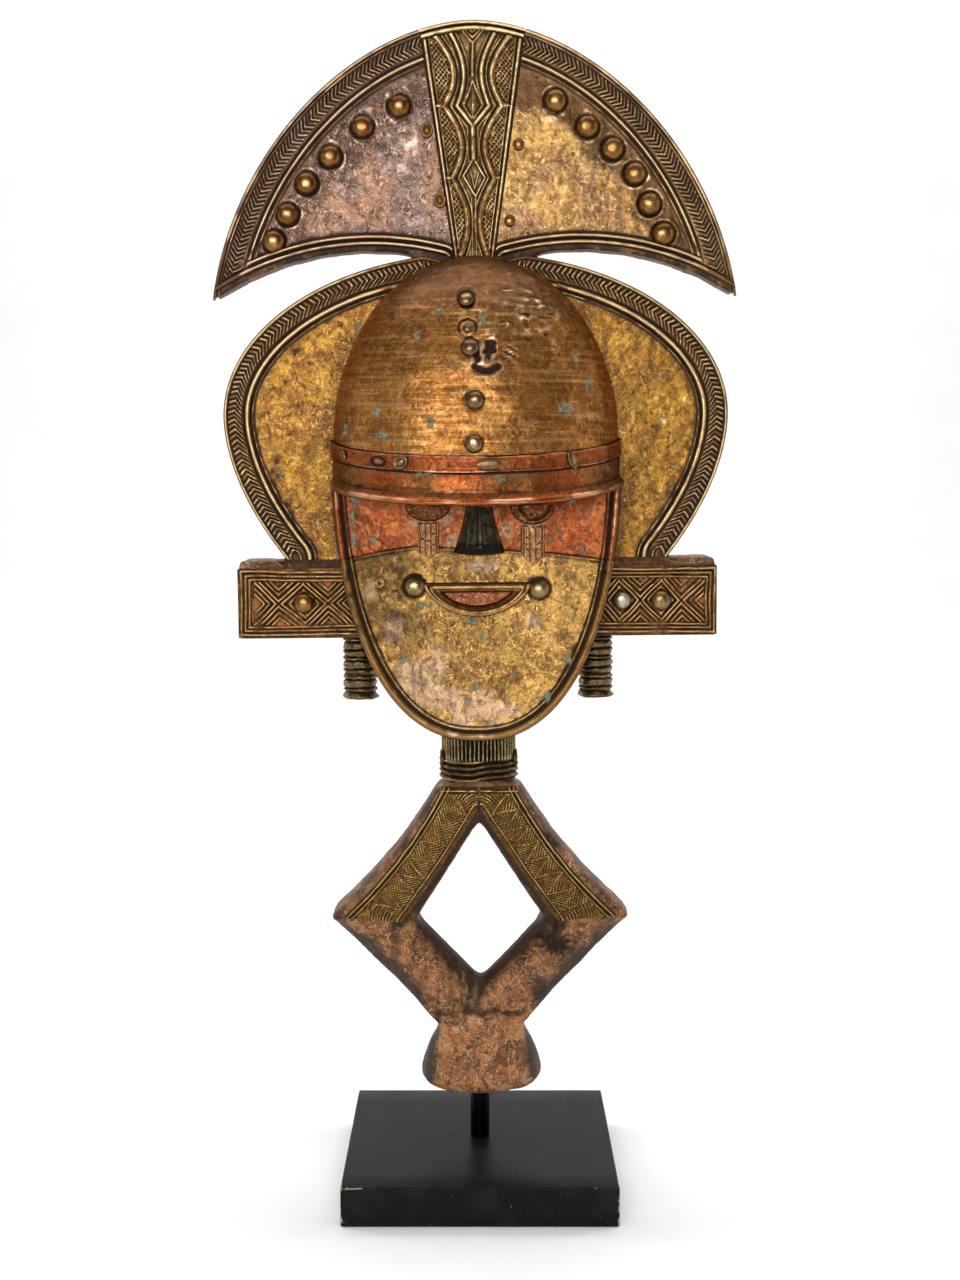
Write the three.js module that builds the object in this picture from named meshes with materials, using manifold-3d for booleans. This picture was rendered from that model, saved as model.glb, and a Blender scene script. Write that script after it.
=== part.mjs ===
// Guardian figure of wood covered with hammered brass and copper sheet, on its rod and square base.
// Millimetres, +Z up, the face looks towards -Y. The origin is under the middle of the base.

import * as THREE from 'three';
import { mergeVertices } from 'three/addons/utils/BufferGeometryUtils.js';
import Module from 'manifold-3d';

const wasm = await Module();
wasm.setup();

// Fits: what touches keeps this gap, and what is fused sinks in by this much
const GAP = 0.3;
const SINK = 0.4;

// Stand
const BASE_SIDE = 130;
const BASE_THICK = 19;
const ROD_DIAMETER = 9.5;
const ROD_LENGTH = 28;

// How the figure sits on its rod
const LEAN_DEGREES = 0.5;
const FIGURE_SHIFT = 0.8;

// Metal
const SHEET = 1.2;
const RIDGE_HEIGHT = 1.3;
const RIDGE_WIDTH = 2.2;
const HERRING_PITCH = 11.5;
const HERRING_HEIGHT = 1;

// Board of crest and wings, its faces measured from the middle of the rod
const BOARD_FRONT = -7;
const BOARD_BACK = 8;

// Crest: a superellipse above, a hollow arc below. Heights are above the foot's underside
const CREST_CENTRE = 370;
const CREST_HALF_WIDTH = 124.8;
const CREST_RISE = 142.2;
const CREST_POWER = 1.82;
const CREST_TIP_Z = 384.5;
const CREST_UNDER_TOP = 406.7;
const CREST_UNDER_X = 49.5;
const CREST_BORDER = 16;
const CREST_HEM = 6.2;
const STRIP_TOP_WIDTH = 49;
const STRIP_FOOT_WIDTH = 19;
const STRIP_LENSES = 3;
const CREST_ROOT_HALF_WIDTH = 20;

// Wings: an ellipse above, a tapering curve below
const WING_HALF_WIDTH = 120;
const WING_WIDEST_Z = 329.5;
const WING_RISE = 76;
const WING_TAPER = 28;
const WING_TAPER_DROP = 67;
const WING_TAPER_POWER = 1.85;
const WING_BORDER = 17;

// Ear bar
const BAR_HALF_WIDTH = 114.8;
const BAR_BOTTOM = 223.5;
const BAR_TOP = 261.2;
const BAR_FRONT = -9;
const BAR_BACK = 20;
const BAR_CHAMFER = 4;
const EAR_FRAME_WIDTH = 1.8;
const EAR_CROSSINGS_LEFT = [20, 43.3];
const EAR_CROSSINGS_RIGHT = [16.6, 36.7];

// Forehead, bands and brim. They dip towards the front by BROW_DIP for each millimetre
const DOME_HALF_WIDTH = 67.8;
const DOME_DEPTH = 40;
const DOME_FOOT = 319;
const DOME_RISE = 85;
const BAND_HEIGHT = 7.5;
const BAND_PROUD = 1.7;
const BRIM_HEIGHT = 15;
const BRIM_HOLLOW = 1.2;
const BRIM_PROUD = 2.5;
const BROW_DIP = 0.22;
const BROW_FACETS = 14;
const DOME_LEVELS = 6;

// Face: a leaning, dished shield
const FACE_CENTRE = 320;
const FACE_HALF_WIDTH = 69.2;
const FACE_DROP = 143.8;
const FACE_POWER = 2.3;
const FACE_TOP_Y = -15;
const FACE_CHIN_Y = -31;
const FACE_DISH = 4;
const FACE_RIM_HEIGHT = 1.7;
const FACE_BACK_SHARE = 0.78;
const FACE_BREAK = 0.6;
const FACE_FACETS = 12;
const HEAD_SIDE = 8;
const CHEEK_LINE = 262.5;

// Features of the face
const NOSE_TOP = 286;
const NOSE_FOOT = 264.5;
const NOSE_TOP_WIDTH = 11;
const NOSE_FOOT_WIDTH = 21.5;
const NOSE_PROUD = 12;
const EYE_HALF_WIDTH = 10.9;
const EYE_PROUD = 3;
const EYE_LEFT = { x: 23, top: 287, drop: 7.6 };
const EYE_RIGHT = { x: 26.6, top: 286.5, drop: 9 };
const TEAR_LEFT = { halfWidth: 5, length: 14, point: 2.5 };
const TEAR_RIGHT = { halfWidth: 5.6, length: 13.5, point: 5.5 };
const MOUTH_Z = 249.7;
const MOUTH_HALF_WIDTH = 24.2;
const MOUTH_DROP = 14.2;
const MOUTH_PROUD = 3;
const LIP_WIDTH = 4.2;

// Neck and its wrappings
const NECK_FACETS = 14;
const NECK_HALF_WIDTH = 16.4;
const NECK_HALF_DEPTH = 14;
const WRAP_THICK = 1.6;
const WRAP_FOOT = 163.8;
const WRAP_TOP = 181;
const WRAP_FLUTES = 22;
const BINDING_FOOT = 154.2;
const BINDING_RINGS = 3;
const BINDING_WIRE = 3.1;

// Open lozenge body
const NECK_FOOT = 152;
const SHOULDER_HALF_WIDTH = 20;
const SHOULDER_SAG_X = 39.8;
const SHOULDER_SAG_Z = 117.2;
const ELBOW_HALF_WIDTH = 73.5;
const ELBOW_Z = 86.8;
const ELBOW_BLUNT = 2.5;
const WAIST_HALF_WIDTH = 20.5;
const WAIST_Z = 31.5;
const HOLE_TOP = 133.6;
const HOLE_BOTTOM = 53.3;
const HOLE_HALF_WIDTH = 30.8;
const HOLE_ELBOW_Z = 85.2;
const ARM_FRONT = -15;
const ARM_BACK = 15;
const ARM_ROUND = 5;
const SHOULDER_SHEET_INSET = 2.5;
const SHOULDER_SHEET_LIP = 6.9;
const SHOULDER_SHEET_SHORT = 7.5;
const SHOULDER_LINES = [1.6, 4.6];

// Foot
const FOOT_HALF_WIDTH = 31.1;
const FOOT_DEPTH_SHARE = 0.82;

// Studs
const CREST_STUD = 5.3;
const BROW_STUD = 4.2;
const EAR_STUD = 4.8;
const MOUTH_STUD = 5.1;
const RIVET = 2.2;

// Ear coils
const COIL_RADIUS = 8.4;
const COIL_X = 57.6;
const COIL_Y = 5;
const COIL_RINGS = 10;
const COIL_LENGTH = 30.5;
const COIL_GROOVE = 1.4;
const COIL_FOOT_PROUD = 0.5;

const sheetBack = BOARD_FRONT - GAP;
const sheetFace = sheetBack - SHEET;

// Reach of the shapes that only cut or trim, past anything they meet
const FAR = 2 * CREST_HALF_WIDTH;
const DEEP = BOARD_BACK - BOARD_FRONT;

// Small geometry helpers

const lerp = THREE.MathUtils.lerp;
const vec2 = (x, z) => new THREE.Vector2(x, z);
const vec3 = (x, y, z) => new THREE.Vector3(x, y, z);
const steps = (count, make) => Array.from({ length: count + 1 }, (_, i) => make(i / count));
const mirrored = (points) => points.map((p) => vec2(-p.x, p.y)).reverse();

function superellipse(halfWidth, rise, power, angle) {
  const x = halfWidth * Math.abs(Math.sin(angle)) ** (2 / power);
  const z = rise * Math.abs(Math.cos(angle)) ** (2 / power);
  return vec2(x, z);
}

function volumeOf(geometry) {
  const p = geometry.attributes.position;
  const index = geometry.index;
  const a = vec3();
  const b = vec3();
  const c = vec3();
  let sum = 0;
  for (let i = 0; i < index.count; i += 3) {
    a.fromBufferAttribute(p, index.getX(i));
    b.fromBufferAttribute(p, index.getX(i + 1));
    c.fromBufferAttribute(p, index.getX(i + 2));
    sum += a.dot(b.cross(c)) / 6;
  }
  return sum;
}

function toSolid(geometry) {
  const bare = geometry.clone();
  bare.deleteAttribute('normal');
  bare.deleteAttribute('uv');
  const welded = mergeVertices(bare, 1e-4);
  const triVerts = Uint32Array.from(welded.index.array);
  if (volumeOf(welded) < 0) {
    for (let i = 0; i < triVerts.length; i += 3) {
      [triVerts[i], triVerts[i + 1]] = [triVerts[i + 1], triVerts[i]];
    }
  }
  const vertProperties = Float32Array.from(welded.attributes.position.array);
  return new wasm.Manifold(new wasm.Mesh({ numProp: 3, vertProperties, triVerts }));
}

function toGeometry(solid) {
  const mesh = solid.getMesh();
  const geometry = new THREE.BufferGeometry();
  geometry.setAttribute('position', new THREE.BufferAttribute(mesh.vertProperties, mesh.numProp));
  geometry.setIndex(new THREE.BufferAttribute(mesh.triVerts, 1));
  geometry.computeVertexNormals();
  return geometry;
}

const fuse = (solids) => solids.reduce((all, next) => all.add(next));

// A flat outline in the x-z plane, given depth from front to back
function board(points, front, back) {
  const shape = new THREE.Shape(points);
  const geometry = new THREE.ExtrudeGeometry(shape, { depth: back - front, bevelEnabled: false });
  geometry.rotateX(Math.PI / 2);
  geometry.translate(0, back, 0);
  return toSolid(geometry);
}

function block(x0, x1, y0, y1, z0, z1) {
  const geometry = new THREE.BoxGeometry(x1 - x0, y1 - y0, z1 - z0);
  geometry.translate((x0 + x1) / 2, (y0 + y1) / 2, (z0 + z1) / 2);
  return toSolid(geometry);
}

// A skin over rings of equally many points, closed at both ends
function loft(rings) {
  const positions = rings.flat().flatMap((p) => [p.x, p.y, p.z]);
  const n = rings[0].length;
  const faces = [];
  for (let k = 0; k + 1 < rings.length; k += 1) {
    for (let i = 0; i < n; i += 1) {
      const j = (i + 1) % n;
      const a = k * n + i;
      const b = k * n + j;
      faces.push(a, b, b + n, a, b + n, a + n);
    }
  }
  const last = (rings.length - 1) * n;
  for (let i = 1; i + 1 < n; i += 1) {
    faces.push(0, i + 1, i);
    faces.push(last, last + i, last + i + 1);
  }
  const geometry = new THREE.BufferGeometry();
  geometry.setAttribute('position', new THREE.Float32BufferAttribute(positions, 3));
  geometry.setIndex(faces);
  return geometry;
}

// A closed skin over an outline seen from a middle point. Each station is a share of the way out
// and a surface giving y; the stations run from the front's middle to the rim and back behind it
function platter(outline, middle, stations) {
  const positions = [];
  const faces = [];
  const n = outline.length;
  for (const [share, surface] of stations) {
    for (const p of outline) {
      const x = lerp(middle.x, p.x, share);
      const z = lerp(middle.y, p.y, share);
      positions.push(x, surface(x, z, share), z);
    }
  }
  for (let k = 0; k + 1 < stations.length; k += 1) {
    for (let i = 0; i < n; i += 1) {
      const a = k * n + i;
      const b = k * n + ((i + 1) % n);
      faces.push(a, b + n, b, a, a + n, b + n);
    }
  }
  const frontMiddle = stations.length * n;
  for (const [, surface] of [stations[0], stations[stations.length - 1]]) {
    positions.push(middle.x, surface(middle.x, middle.y, 0), middle.y);
  }
  const last = (stations.length - 1) * n;
  for (let i = 0; i < n; i += 1) {
    const j = (i + 1) % n;
    faces.push(frontMiddle, i, j);
    faces.push(frontMiddle + 1, last + j, last + i);
  }
  const geometry = new THREE.BufferGeometry();
  geometry.setAttribute('position', new THREE.Float32BufferAttribute(positions, 3));
  geometry.setIndex(faces);
  return toSolid(geometry);
}

function normalAt(path, i) {
  const before = path[Math.max(i - 1, 0)];
  const after = path[Math.min(i + 1, path.length - 1)];
  const along = after.clone().sub(before).normalize();
  return vec2(-along.y, along.x);
}

// The path moved sideways, to the left of its own direction
function offset(path, distance) {
  return path.map((p, i) => p.clone().addScaledVector(normalAt(path, i), distance));
}

// A raised ridge along a path on a flat sheet whose face is at y
function ridge(path, width, height, y) {
  const rings = path.map((p, i) => {
    const side = normalAt(path, i).multiplyScalar(width / 2);
    return [
      vec3(p.x - side.x, y + SINK, p.y - side.y),
      vec3(p.x, y - height, p.y),
      vec3(p.x + side.x, y + SINK, p.y + side.y),
    ];
  });
  return toSolid(loft(rings));
}

// Bent bars in a row along a path, their bends pointing the way the path runs
function herringbone(path, width, y) {
  const curve = new THREE.SplineCurve(path);
  const count = Math.round(curve.getLength() / HERRING_PITCH);
  const bars = [];
  for (let i = 1; i < count; i += 1) {
    const at = curve.getPointAt(i / count);
    const along = curve.getTangentAt(i / count);
    const across = vec2(-along.y, along.x);
    const place = (u, v) => at.clone().addScaledVector(along, u).addScaledVector(across, v);
    const arm = width / 2;
    const bend = [place(-arm * 0.8, -arm), place(arm * 0.2, 0), place(-arm * 0.8, arm)];
    const rings = bend.map((p) => {
      const half = along.clone().multiplyScalar(HERRING_PITCH * 0.22);
      return [
        vec3(p.x - half.x, y + SINK, p.y - half.y),
        vec3(p.x, y - HERRING_HEIGHT, p.y),
        vec3(p.x + half.x, y + SINK, p.y + half.y),
      ];
    });
    bars.push(toSolid(loft(rings)));
  }
  return bars;
}

// A turned form about the z axis from [radius, height] pairs that start and end on the axis
function turned(profile, segments) {
  const geometry = new THREE.LatheGeometry(profile.map(([r, h]) => vec2(r, h)), segments);
  geometry.rotateX(Math.PI / 2);
  return geometry;
}

// Outlines

const crestEdge = (angle) => {
  const p = superellipse(CREST_HALF_WIDTH, CREST_RISE, CREST_POWER, angle);
  return vec2(p.x, CREST_CENTRE + p.y);
};
const crestTipAngle = Math.acos(((CREST_TIP_Z - CREST_CENTRE) / CREST_RISE) ** (CREST_POWER / 2));
const crestTipX = crestEdge(crestTipAngle).x;
const underRise = CREST_UNDER_TOP - CREST_TIP_Z;
const underRadius = ((crestTipX - CREST_UNDER_X) ** 2 + underRise ** 2) / (2 * underRise);
const crestUnder = (x) => {
  const z = Math.sqrt(underRadius ** 2 - (x - CREST_UNDER_X) ** 2);
  return vec2(x, CREST_UNDER_TOP - underRadius + z);
};
const crestTop = CREST_CENTRE + CREST_RISE;
const domeTop = DOME_FOOT + DOME_RISE;

// Half width of the middle strip of the crest at a height
const stripHalfWidth = (z) => {
  const share = (z - domeTop) / (crestTop - domeTop);
  return lerp(STRIP_FOOT_WIDTH, STRIP_TOP_WIDTH, share) / 2;
};

// Top of the crest from its middle out to the right tip, then back under to the given x
const crestArc = (start, inset, count) => {
  const path = steps(count, (t) => crestEdge(lerp(start, crestTipAngle, t)));
  return offset(path, -inset);
};
const crestUnderArc = (from, to, inset, count) => {
  const path = steps(count, (t) => crestUnder(lerp(from, to, t)));
  return offset(path, -inset);
};

const wingUpper = (angle) => {
  return vec2(WING_HALF_WIDTH * Math.sin(angle), WING_WIDEST_Z + WING_RISE * Math.cos(angle));
};
const wingLower = (z) => {
  const share = ((WING_WIDEST_Z - z) / WING_TAPER_DROP) ** WING_TAPER_POWER;
  return vec2(WING_HALF_WIDTH - WING_TAPER * share, z);
};
const wingArc = (start, foot, inset, upperCount, lowerCount) => {
  const upper = steps(upperCount, (t) => wingUpper(lerp(start, Math.PI / 2, t)));
  const lower = steps(lowerCount, (t) => wingLower(lerp(WING_WIDEST_Z, foot, t)));
  return offset([...upper, ...lower.slice(1)], -inset);
};

const browTop = DOME_FOOT;
const bandFoot = browTop - BAND_HEIGHT;
const brimFoot = bandFoot - BRIM_HEIGHT;
const faceTop = brimFoot + BROW_DIP * (FACE_TOP_Y - BOARD_FRONT) - GAP;

// Right half of the face outline from the top edge down to the chin
const faceHalf = (grow, count) => {
  const low = Math.acos(((FACE_CENTRE - faceTop) / FACE_DROP) ** (FACE_POWER / 2));
  return steps(count, (t) => {
    const p = superellipse(FACE_HALF_WIDTH + grow, FACE_DROP + grow, FACE_POWER, lerp(low, 0, t));
    return vec2(p.x, FACE_CENTRE - p.y);
  });
};
const faceOutline = (grow, count) => {
  const half = faceHalf(grow, count);
  return [...half, ...mirrored(half).slice(1)];
};

const browProud = Math.max(BAND_PROUD, BRIM_PROUD);

// The head seen from the front: what the flat sheets behind it stop against
function headShadow(clear) {
  const face = faceHalf(clear, 10);
  const side = DOME_HALF_WIDTH + browProud + clear;
  const dome = steps(12, (t) => {
    const angle = (t * Math.PI) / 2;
    const x = (DOME_HALF_WIDTH + clear) * Math.cos(angle);
    return vec2(x, DOME_FOOT + (DOME_RISE + clear) * Math.sin(angle));
  });
  const right = [...face.reverse(), vec2(side, faceTop), vec2(side, browTop + clear), ...dome];
  const left = mirrored(right.slice(1, -1));
  return board([...right, ...left], -FAR, BOARD_FRONT + GAP);
}

// Face surface: leaning back at the top and hollow in the middle

const faceMiddle = vec2(0, lerp(FACE_CENTRE - FACE_DROP, faceTop, 0.6));
const facePlane = (z) => {
  const share = (z - (FACE_CENTRE - FACE_DROP)) / (faceTop - (FACE_CENTRE - FACE_DROP));
  return lerp(FACE_CHIN_Y, FACE_TOP_Y, share);
};
// The dish as its facets have it: straight from the middle to FACE_BREAK, and on to the edge
const dishAt = (share) => {
  const knee = FACE_BREAK ** 2;
  if (share < FACE_BREAK) {
    return 1 - knee * (share / FACE_BREAK);
  }
  return ((1 - knee) * (1 - share)) / (1 - FACE_BREAK);
};
const faceFront = (x, z, share) => facePlane(z) + FACE_DISH * dishAt(share);

// Share of the way from the middle of the face to its outline, for any point of the face
const faceEdge = faceOutline(0, FACE_FACETS).map((p) => p.sub(faceMiddle));
function faceShare(x, z) {
  const point = vec2(x, z).sub(faceMiddle);
  const shares = faceEdge.map((from, i) => {
    const along = faceEdge[(i + 1) % faceEdge.length].clone().sub(from);
    return point.cross(along) / from.cross(along);
  });
  return Math.min(Math.max(...shares), 1);
}
const onFace = (x, z) => faceFront(x, z, faceShare(x, z));

// Half-round sections of forehead and brow, sheared so that they dip to the front

const dip = (y) => BROW_DIP * (y - sheetBack);
function browSection(halfWidth, depth, z, back, count) {
  const arc = steps(count, (t) => {
    const angle = Math.PI * t;
    const y = sheetBack - depth * Math.sin(angle);
    return vec3(halfWidth * Math.cos(angle), y, z + dip(y));
  });
  if (back === sheetBack) {
    return arc;
  }
  return [...arc, vec3(-halfWidth, back, z + dip(back)), vec3(halfWidth, back, z + dip(back))];
}
// Rows are [height, how far proud of the dome's radius]
function browSolid(rows, shrink, back, count) {
  const rings = rows.map(([z, proud]) => {
    const grow = proud - shrink;
    return browSection(DOME_HALF_WIDTH + grow, DOME_DEPTH + grow, z, back, count);
  });
  return toSolid(loft(rings));
}
function domeSolid(shrink, foot, back, count, levels) {
  const rings = steps(levels, (t) => {
    const angle = (t * Math.PI) / 2;
    const round = Math.max(Math.cos(angle), 0.04);
    const rise = (DOME_RISE - shrink) * Math.sin(angle);
    const halfWidth = (DOME_HALF_WIDTH - shrink) * round;
    const section = browSection(halfWidth, (DOME_DEPTH - shrink) * round, 0, back, count);
    return section.map((p) => vec3(p.x, p.y, foot + rise + p.z * round));
  });
  return toSolid(loft(rings));
}

// Wood

// The crest grows out of the wings and the head by a root in the middle
function crestBoard() {
  const arc = crestArc(0, 0, 12);
  const under = crestUnderArc(crestTipX, CREST_ROOT_HALF_WIDTH, 0, 6);
  const right = [...arc, ...under.slice(1), vec2(CREST_ROOT_HALF_WIDTH, DOME_FOOT)];
  return board([...right, ...mirrored(right.slice(1))], BOARD_FRONT, BOARD_BACK);
}

function wingBoard() {
  const right = wingArc(0, BAR_BOTTOM + BAR_CHAMFER, 0, 7, 5);
  return board([...right, ...mirrored(right.slice(1))], BOARD_FRONT, BOARD_BACK);
}

function earBar() {
  const section = [
    [BAR_FRONT, BAR_BOTTOM],
    [BAR_FRONT, BAR_TOP - BAR_CHAMFER],
    [BAR_FRONT + BAR_CHAMFER, BAR_TOP],
    [BAR_BACK, BAR_TOP],
    [BAR_BACK, BAR_BOTTOM],
  ];
  const ends = [-BAR_HALF_WIDTH, BAR_HALF_WIDTH];
  return toSolid(loft(ends.map((x) => section.map(([y, z]) => vec3(x, y, z)))));
}

function headBlock() {
  const under = SHEET + GAP;
  const brow = browSolid([[brimFoot, 0], [browTop + SINK, 0]], under + BRIM_HOLLOW, 0, BROW_FACETS);
  const dome = domeSolid(under, browTop, 0, BROW_FACETS, DOME_LEVELS);
  const behindSheet = (x, z, share) => faceFront(x, z, share) + under;
  const side = (x, z) => facePlane(z) + HEAD_SIDE;
  const face = platter(faceOutline(-under, 12), faceMiddle, [
    [FACE_BREAK, behindSheet],
    [1, behindSheet],
    [1, side],
    [FACE_BACK_SHARE, () => BOARD_BACK],
  ]);
  return fuse([brow, dome, face]);
}

const oval = (grow, z, count) => steps(count, (t) => {
  const angle = 2 * Math.PI * t;
  const x = (NECK_HALF_WIDTH + grow) * Math.cos(angle);
  return vec3(x, (NECK_HALF_DEPTH + grow) * Math.sin(angle), z);
}).slice(0, -1);

function neckPost() {
  const ends = [NECK_FOOT - ARM_ROUND, BAR_BOTTOM + ARM_ROUND];
  return toSolid(loft(ends.map((z) => oval(0, z, NECK_FACETS))));
}

// Sagging line from the neck to just above an elbow, moved in by an inset and cut short there
function shoulderLine(inset, short, count) {
  return new THREE.QuadraticBezierCurve(
    vec2(SHOULDER_HALF_WIDTH - inset, NECK_FOOT - inset * 0.2),
    vec2(SHOULDER_SAG_X - inset * 1.5, SHOULDER_SAG_Z - inset * 0.7),
    vec2(ELBOW_HALF_WIDTH - short, ELBOW_Z + ELBOW_BLUNT - inset * 0.5),
  ).getPoints(count);
}

function lozenge() {
  const shoulder = shoulderLine(0, 2, 6);
  const elbow = [
    vec2(ELBOW_HALF_WIDTH, ELBOW_Z - ELBOW_BLUNT * 0.4),
    vec2(ELBOW_HALF_WIDTH - ELBOW_BLUNT * 1.2, ELBOW_Z - ELBOW_BLUNT * 1.6),
  ];
  const right = [...shoulder, ...elbow, vec2(WAIST_HALF_WIDTH, WAIST_Z)];
  const shape = new THREE.Shape([...right, ...mirrored(right)]);
  shape.holes.push(new THREE.Path([
    vec2(0, HOLE_TOP),
    vec2(-HOLE_HALF_WIDTH, HOLE_ELBOW_Z),
    vec2(0, HOLE_BOTTOM),
    vec2(HOLE_HALF_WIDTH, HOLE_ELBOW_Z),
  ]));
  const geometry = new THREE.ExtrudeGeometry(shape, {
    depth: ARM_BACK - ARM_FRONT - 2 * ARM_ROUND,
    bevelThickness: ARM_ROUND,
    bevelSize: ARM_ROUND * 0.8,
    bevelOffset: -ARM_ROUND * 0.8,
    bevelSegments: 2,
  });
  geometry.rotateX(Math.PI / 2);
  geometry.translate(0, ARM_BACK - ARM_ROUND, 0);
  return toSolid(geometry);
}

// Rows are [share of the flare outside the waist, share of the way up to the waist]
function foot() {
  const flare = [[0.53, 0], [0.9, 0.08], [1, 0.19], [0.81, 0.48], [0.43, 0.76], [0, 1]];
  const side = flare.map(([out, up]) => {
    return [lerp(WAIST_HALF_WIDTH, FOOT_HALF_WIDTH, out), WAIST_Z * up];
  });
  const top = [[WAIST_HALF_WIDTH * 0.8, WAIST_Z + ARM_ROUND], [0, WAIST_Z + ARM_ROUND * 1.6]];
  const geometry = turned([[0, 0], ...side, ...top], 16);
  geometry.scale(1, FOOT_DEPTH_SHARE, 1);
  return toSolid(geometry);
}

const woodSolid = fuse([crestBoard(), wingBoard(), earBar(), headBlock(), neckPost(), lozenge(), foot()]);

// Sheets of the crest

const flip = (side, points) => points.map((p) => vec2(side * p.x, p.y));
const shadow = headShadow(GAP);

function crestSheet(side) {
  const start = 0.12;
  const half = [...crestArc(0, 0, 12), ...crestUnderArc(crestTipX, 0, 0, 6).slice(1)];
  const plate = board(flip(side, half), sheetFace, sheetBack);
  const trim = board(flip(side, half), sheetFace - DEEP, sheetBack + DEEP);
  const ends = [domeTop - DEEP, crestTop + DEEP];
  const stripSide = ends.map((z) => vec2(stripHalfWidth(z) + GAP, z));
  const middleLine = ends.map((z) => vec2(-1, z)).reverse();
  const keepOut = board(flip(side, [...stripSide, ...middleLine]), sheetFace - DEEP, sheetBack + DEEP);
  const along = (inset) => flip(side, crestArc(start, inset, 11));
  const rim = ridge(along(RIDGE_WIDTH / 2), RIDGE_WIDTH, RIDGE_HEIGHT, sheetFace);
  const innerPath = along(CREST_BORDER - RIDGE_WIDTH).slice(0, -1);
  const inner = ridge(innerPath, RIDGE_WIDTH * 1.8, RIDGE_HEIGHT, sheetFace);
  const hem = [RIDGE_WIDTH * 0.6, CREST_HEM - RIDGE_WIDTH * 0.5].map((inset) => {
    const path = crestUnderArc(crestTipX - inset * 3.5, CREST_ROOT_HALF_WIDTH, inset, 5);
    return ridge(flip(side, path), RIDGE_WIDTH, RIDGE_HEIGHT, sheetFace);
  });
  const middle = along(RIDGE_WIDTH + (CREST_BORDER - RIDGE_WIDTH * 3.1) / 2).slice(0, -1);
  const bars = herringbone(middle, CREST_BORDER - RIDGE_WIDTH * 4, sheetFace);
  return fuse([plate, rim, inner, ...hem, ...bars]).subtract(keepOut).subtract(shadow).intersect(trim);
}

// Middle strip with raised edges and paired bows
function crestStrip() {
  const edge = (side, inset) => {
    const ends = [domeTop - 2, crestTop];
    return ends.map((z) => vec2(side * (stripHalfWidth(z) - inset), z));
  };
  const rightEdge = edge(1, 0);
  const leftEdge = edge(-1, 0);
  const top = steps(4, (t) => crestEdge(lerp(0.19, 0, t))).slice(0, -1);
  const outline = [rightEdge[0], ...top, vec2(0, crestTop), ...mirrored(top), leftEdge[0]];
  const plate = board(outline, sheetFace, sheetBack);
  const sides = [-1, 1].map((side) => {
    return ridge(edge(side, RIDGE_WIDTH * 0.7), RIDGE_WIDTH, RIDGE_HEIGHT, sheetFace);
  });
  const bows = [];
  const pitch = (crestTop - domeTop) / STRIP_LENSES;
  for (let k = 0; k < STRIP_LENSES; k += 1) {
    const low = domeTop + pitch * k;
    for (const side of [-1, 1]) {
      const path = steps(5, (t) => {
        const z = lerp(low + 1, low + pitch - 2, t);
        const wide = stripHalfWidth(z) - RIDGE_WIDTH * 1.8;
        return vec2(side * (wide - wide * 0.72 * Math.sin(Math.PI * t)), z);
      });
      bows.push(ridge(path, RIDGE_WIDTH, RIDGE_HEIGHT, sheetFace));
    }
  }
  const trim = board(outline, sheetFace - DEEP, sheetBack + DEEP);
  return fuse([plate, ...sides, ...bows]).intersect(trim).subtract(shadow);
}

// Sheets of the wings

function wingSheet(side) {
  const start = 0.12;
  const foot = BAR_TOP + GAP;
  const arc = (from, to, inset) => wingArc(from, to, inset, 7, 5);
  const plate = board(flip(side, [...arc(0, foot, 0), vec2(0, foot)]), sheetFace, sheetBack);
  const along = (inset) => flip(side, arc(start, foot - DEEP, inset));
  const rim = ridge(along(RIDGE_WIDTH / 2), RIDGE_WIDTH, RIDGE_HEIGHT, sheetFace);
  const inner = ridge(along(WING_BORDER - RIDGE_WIDTH), RIDGE_WIDTH * 1.8, RIDGE_HEIGHT, sheetFace);
  const middle = arc(start, foot, RIDGE_WIDTH + (WING_BORDER - RIDGE_WIDTH * 3.1) / 2).reverse();
  const bars = herringbone(flip(side, middle), WING_BORDER - RIDGE_WIDTH * 4, sheetFace);
  const under = crestUnderArc(crestTipX, -DEEP, -GAP, 10);
  const crestArea = [...under, vec2(-DEEP, crestTop), vec2(crestTipX, crestTop)];
  const crestLine = board(flip(side, crestArea), sheetFace - DEEP, sheetBack + DEEP);
  const below = block(-FAR, FAR, sheetFace - DEEP, sheetBack + DEEP, 0, foot);
  return fuse([plate, rim, inner, ...bars]).subtract(crestLine).subtract(below).subtract(shadow);
}

// Forehead and brow

const wrapHead = (rows) => browSolid(rows, 0, sheetBack, BROW_FACETS);

function foreheadSheet() {
  const outer = domeSolid(0, browTop, sheetBack, BROW_FACETS, DOME_LEVELS);
  const inner = domeSolid(SHEET, browTop, BOARD_BACK, BROW_FACETS, DOME_LEVELS);
  const below = browSolid([[browTop - 5, 0], [browTop + 0.01, 0]], SHEET, BOARD_BACK, BROW_FACETS);
  return outer.subtract(inner).subtract(below);
}
function upperBand() {
  const outer = wrapHead([[bandFoot, BAND_PROUD], [browTop - GAP, BAND_PROUD]]);
  const inner = browSolid([[bandFoot - 5, 0], [browTop + 5, 0]], 0.2, BOARD_BACK, BROW_FACETS);
  return outer.subtract(inner);
}
function lowerBand() {
  const roll = BRIM_HEIGHT * 0.2;
  const outer = wrapHead([
    [brimFoot, BRIM_PROUD - 0.8],
    [brimFoot + roll * 0.5, BRIM_PROUD],
    [brimFoot + roll, BRIM_PROUD - 0.8],
    [brimFoot + roll * 1.6, 0.6],
    [brimFoot + BRIM_HEIGHT * 0.7, -BRIM_HOLLOW + SHEET],
    [bandFoot - GAP, -BRIM_HOLLOW + SHEET],
  ]);
  const inner = browSolid([[brimFoot - 5, 0], [bandFoot + 5, 0]], BRIM_HOLLOW, BOARD_BACK, BROW_FACETS);
  return outer.subtract(inner);
}

// Face

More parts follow.
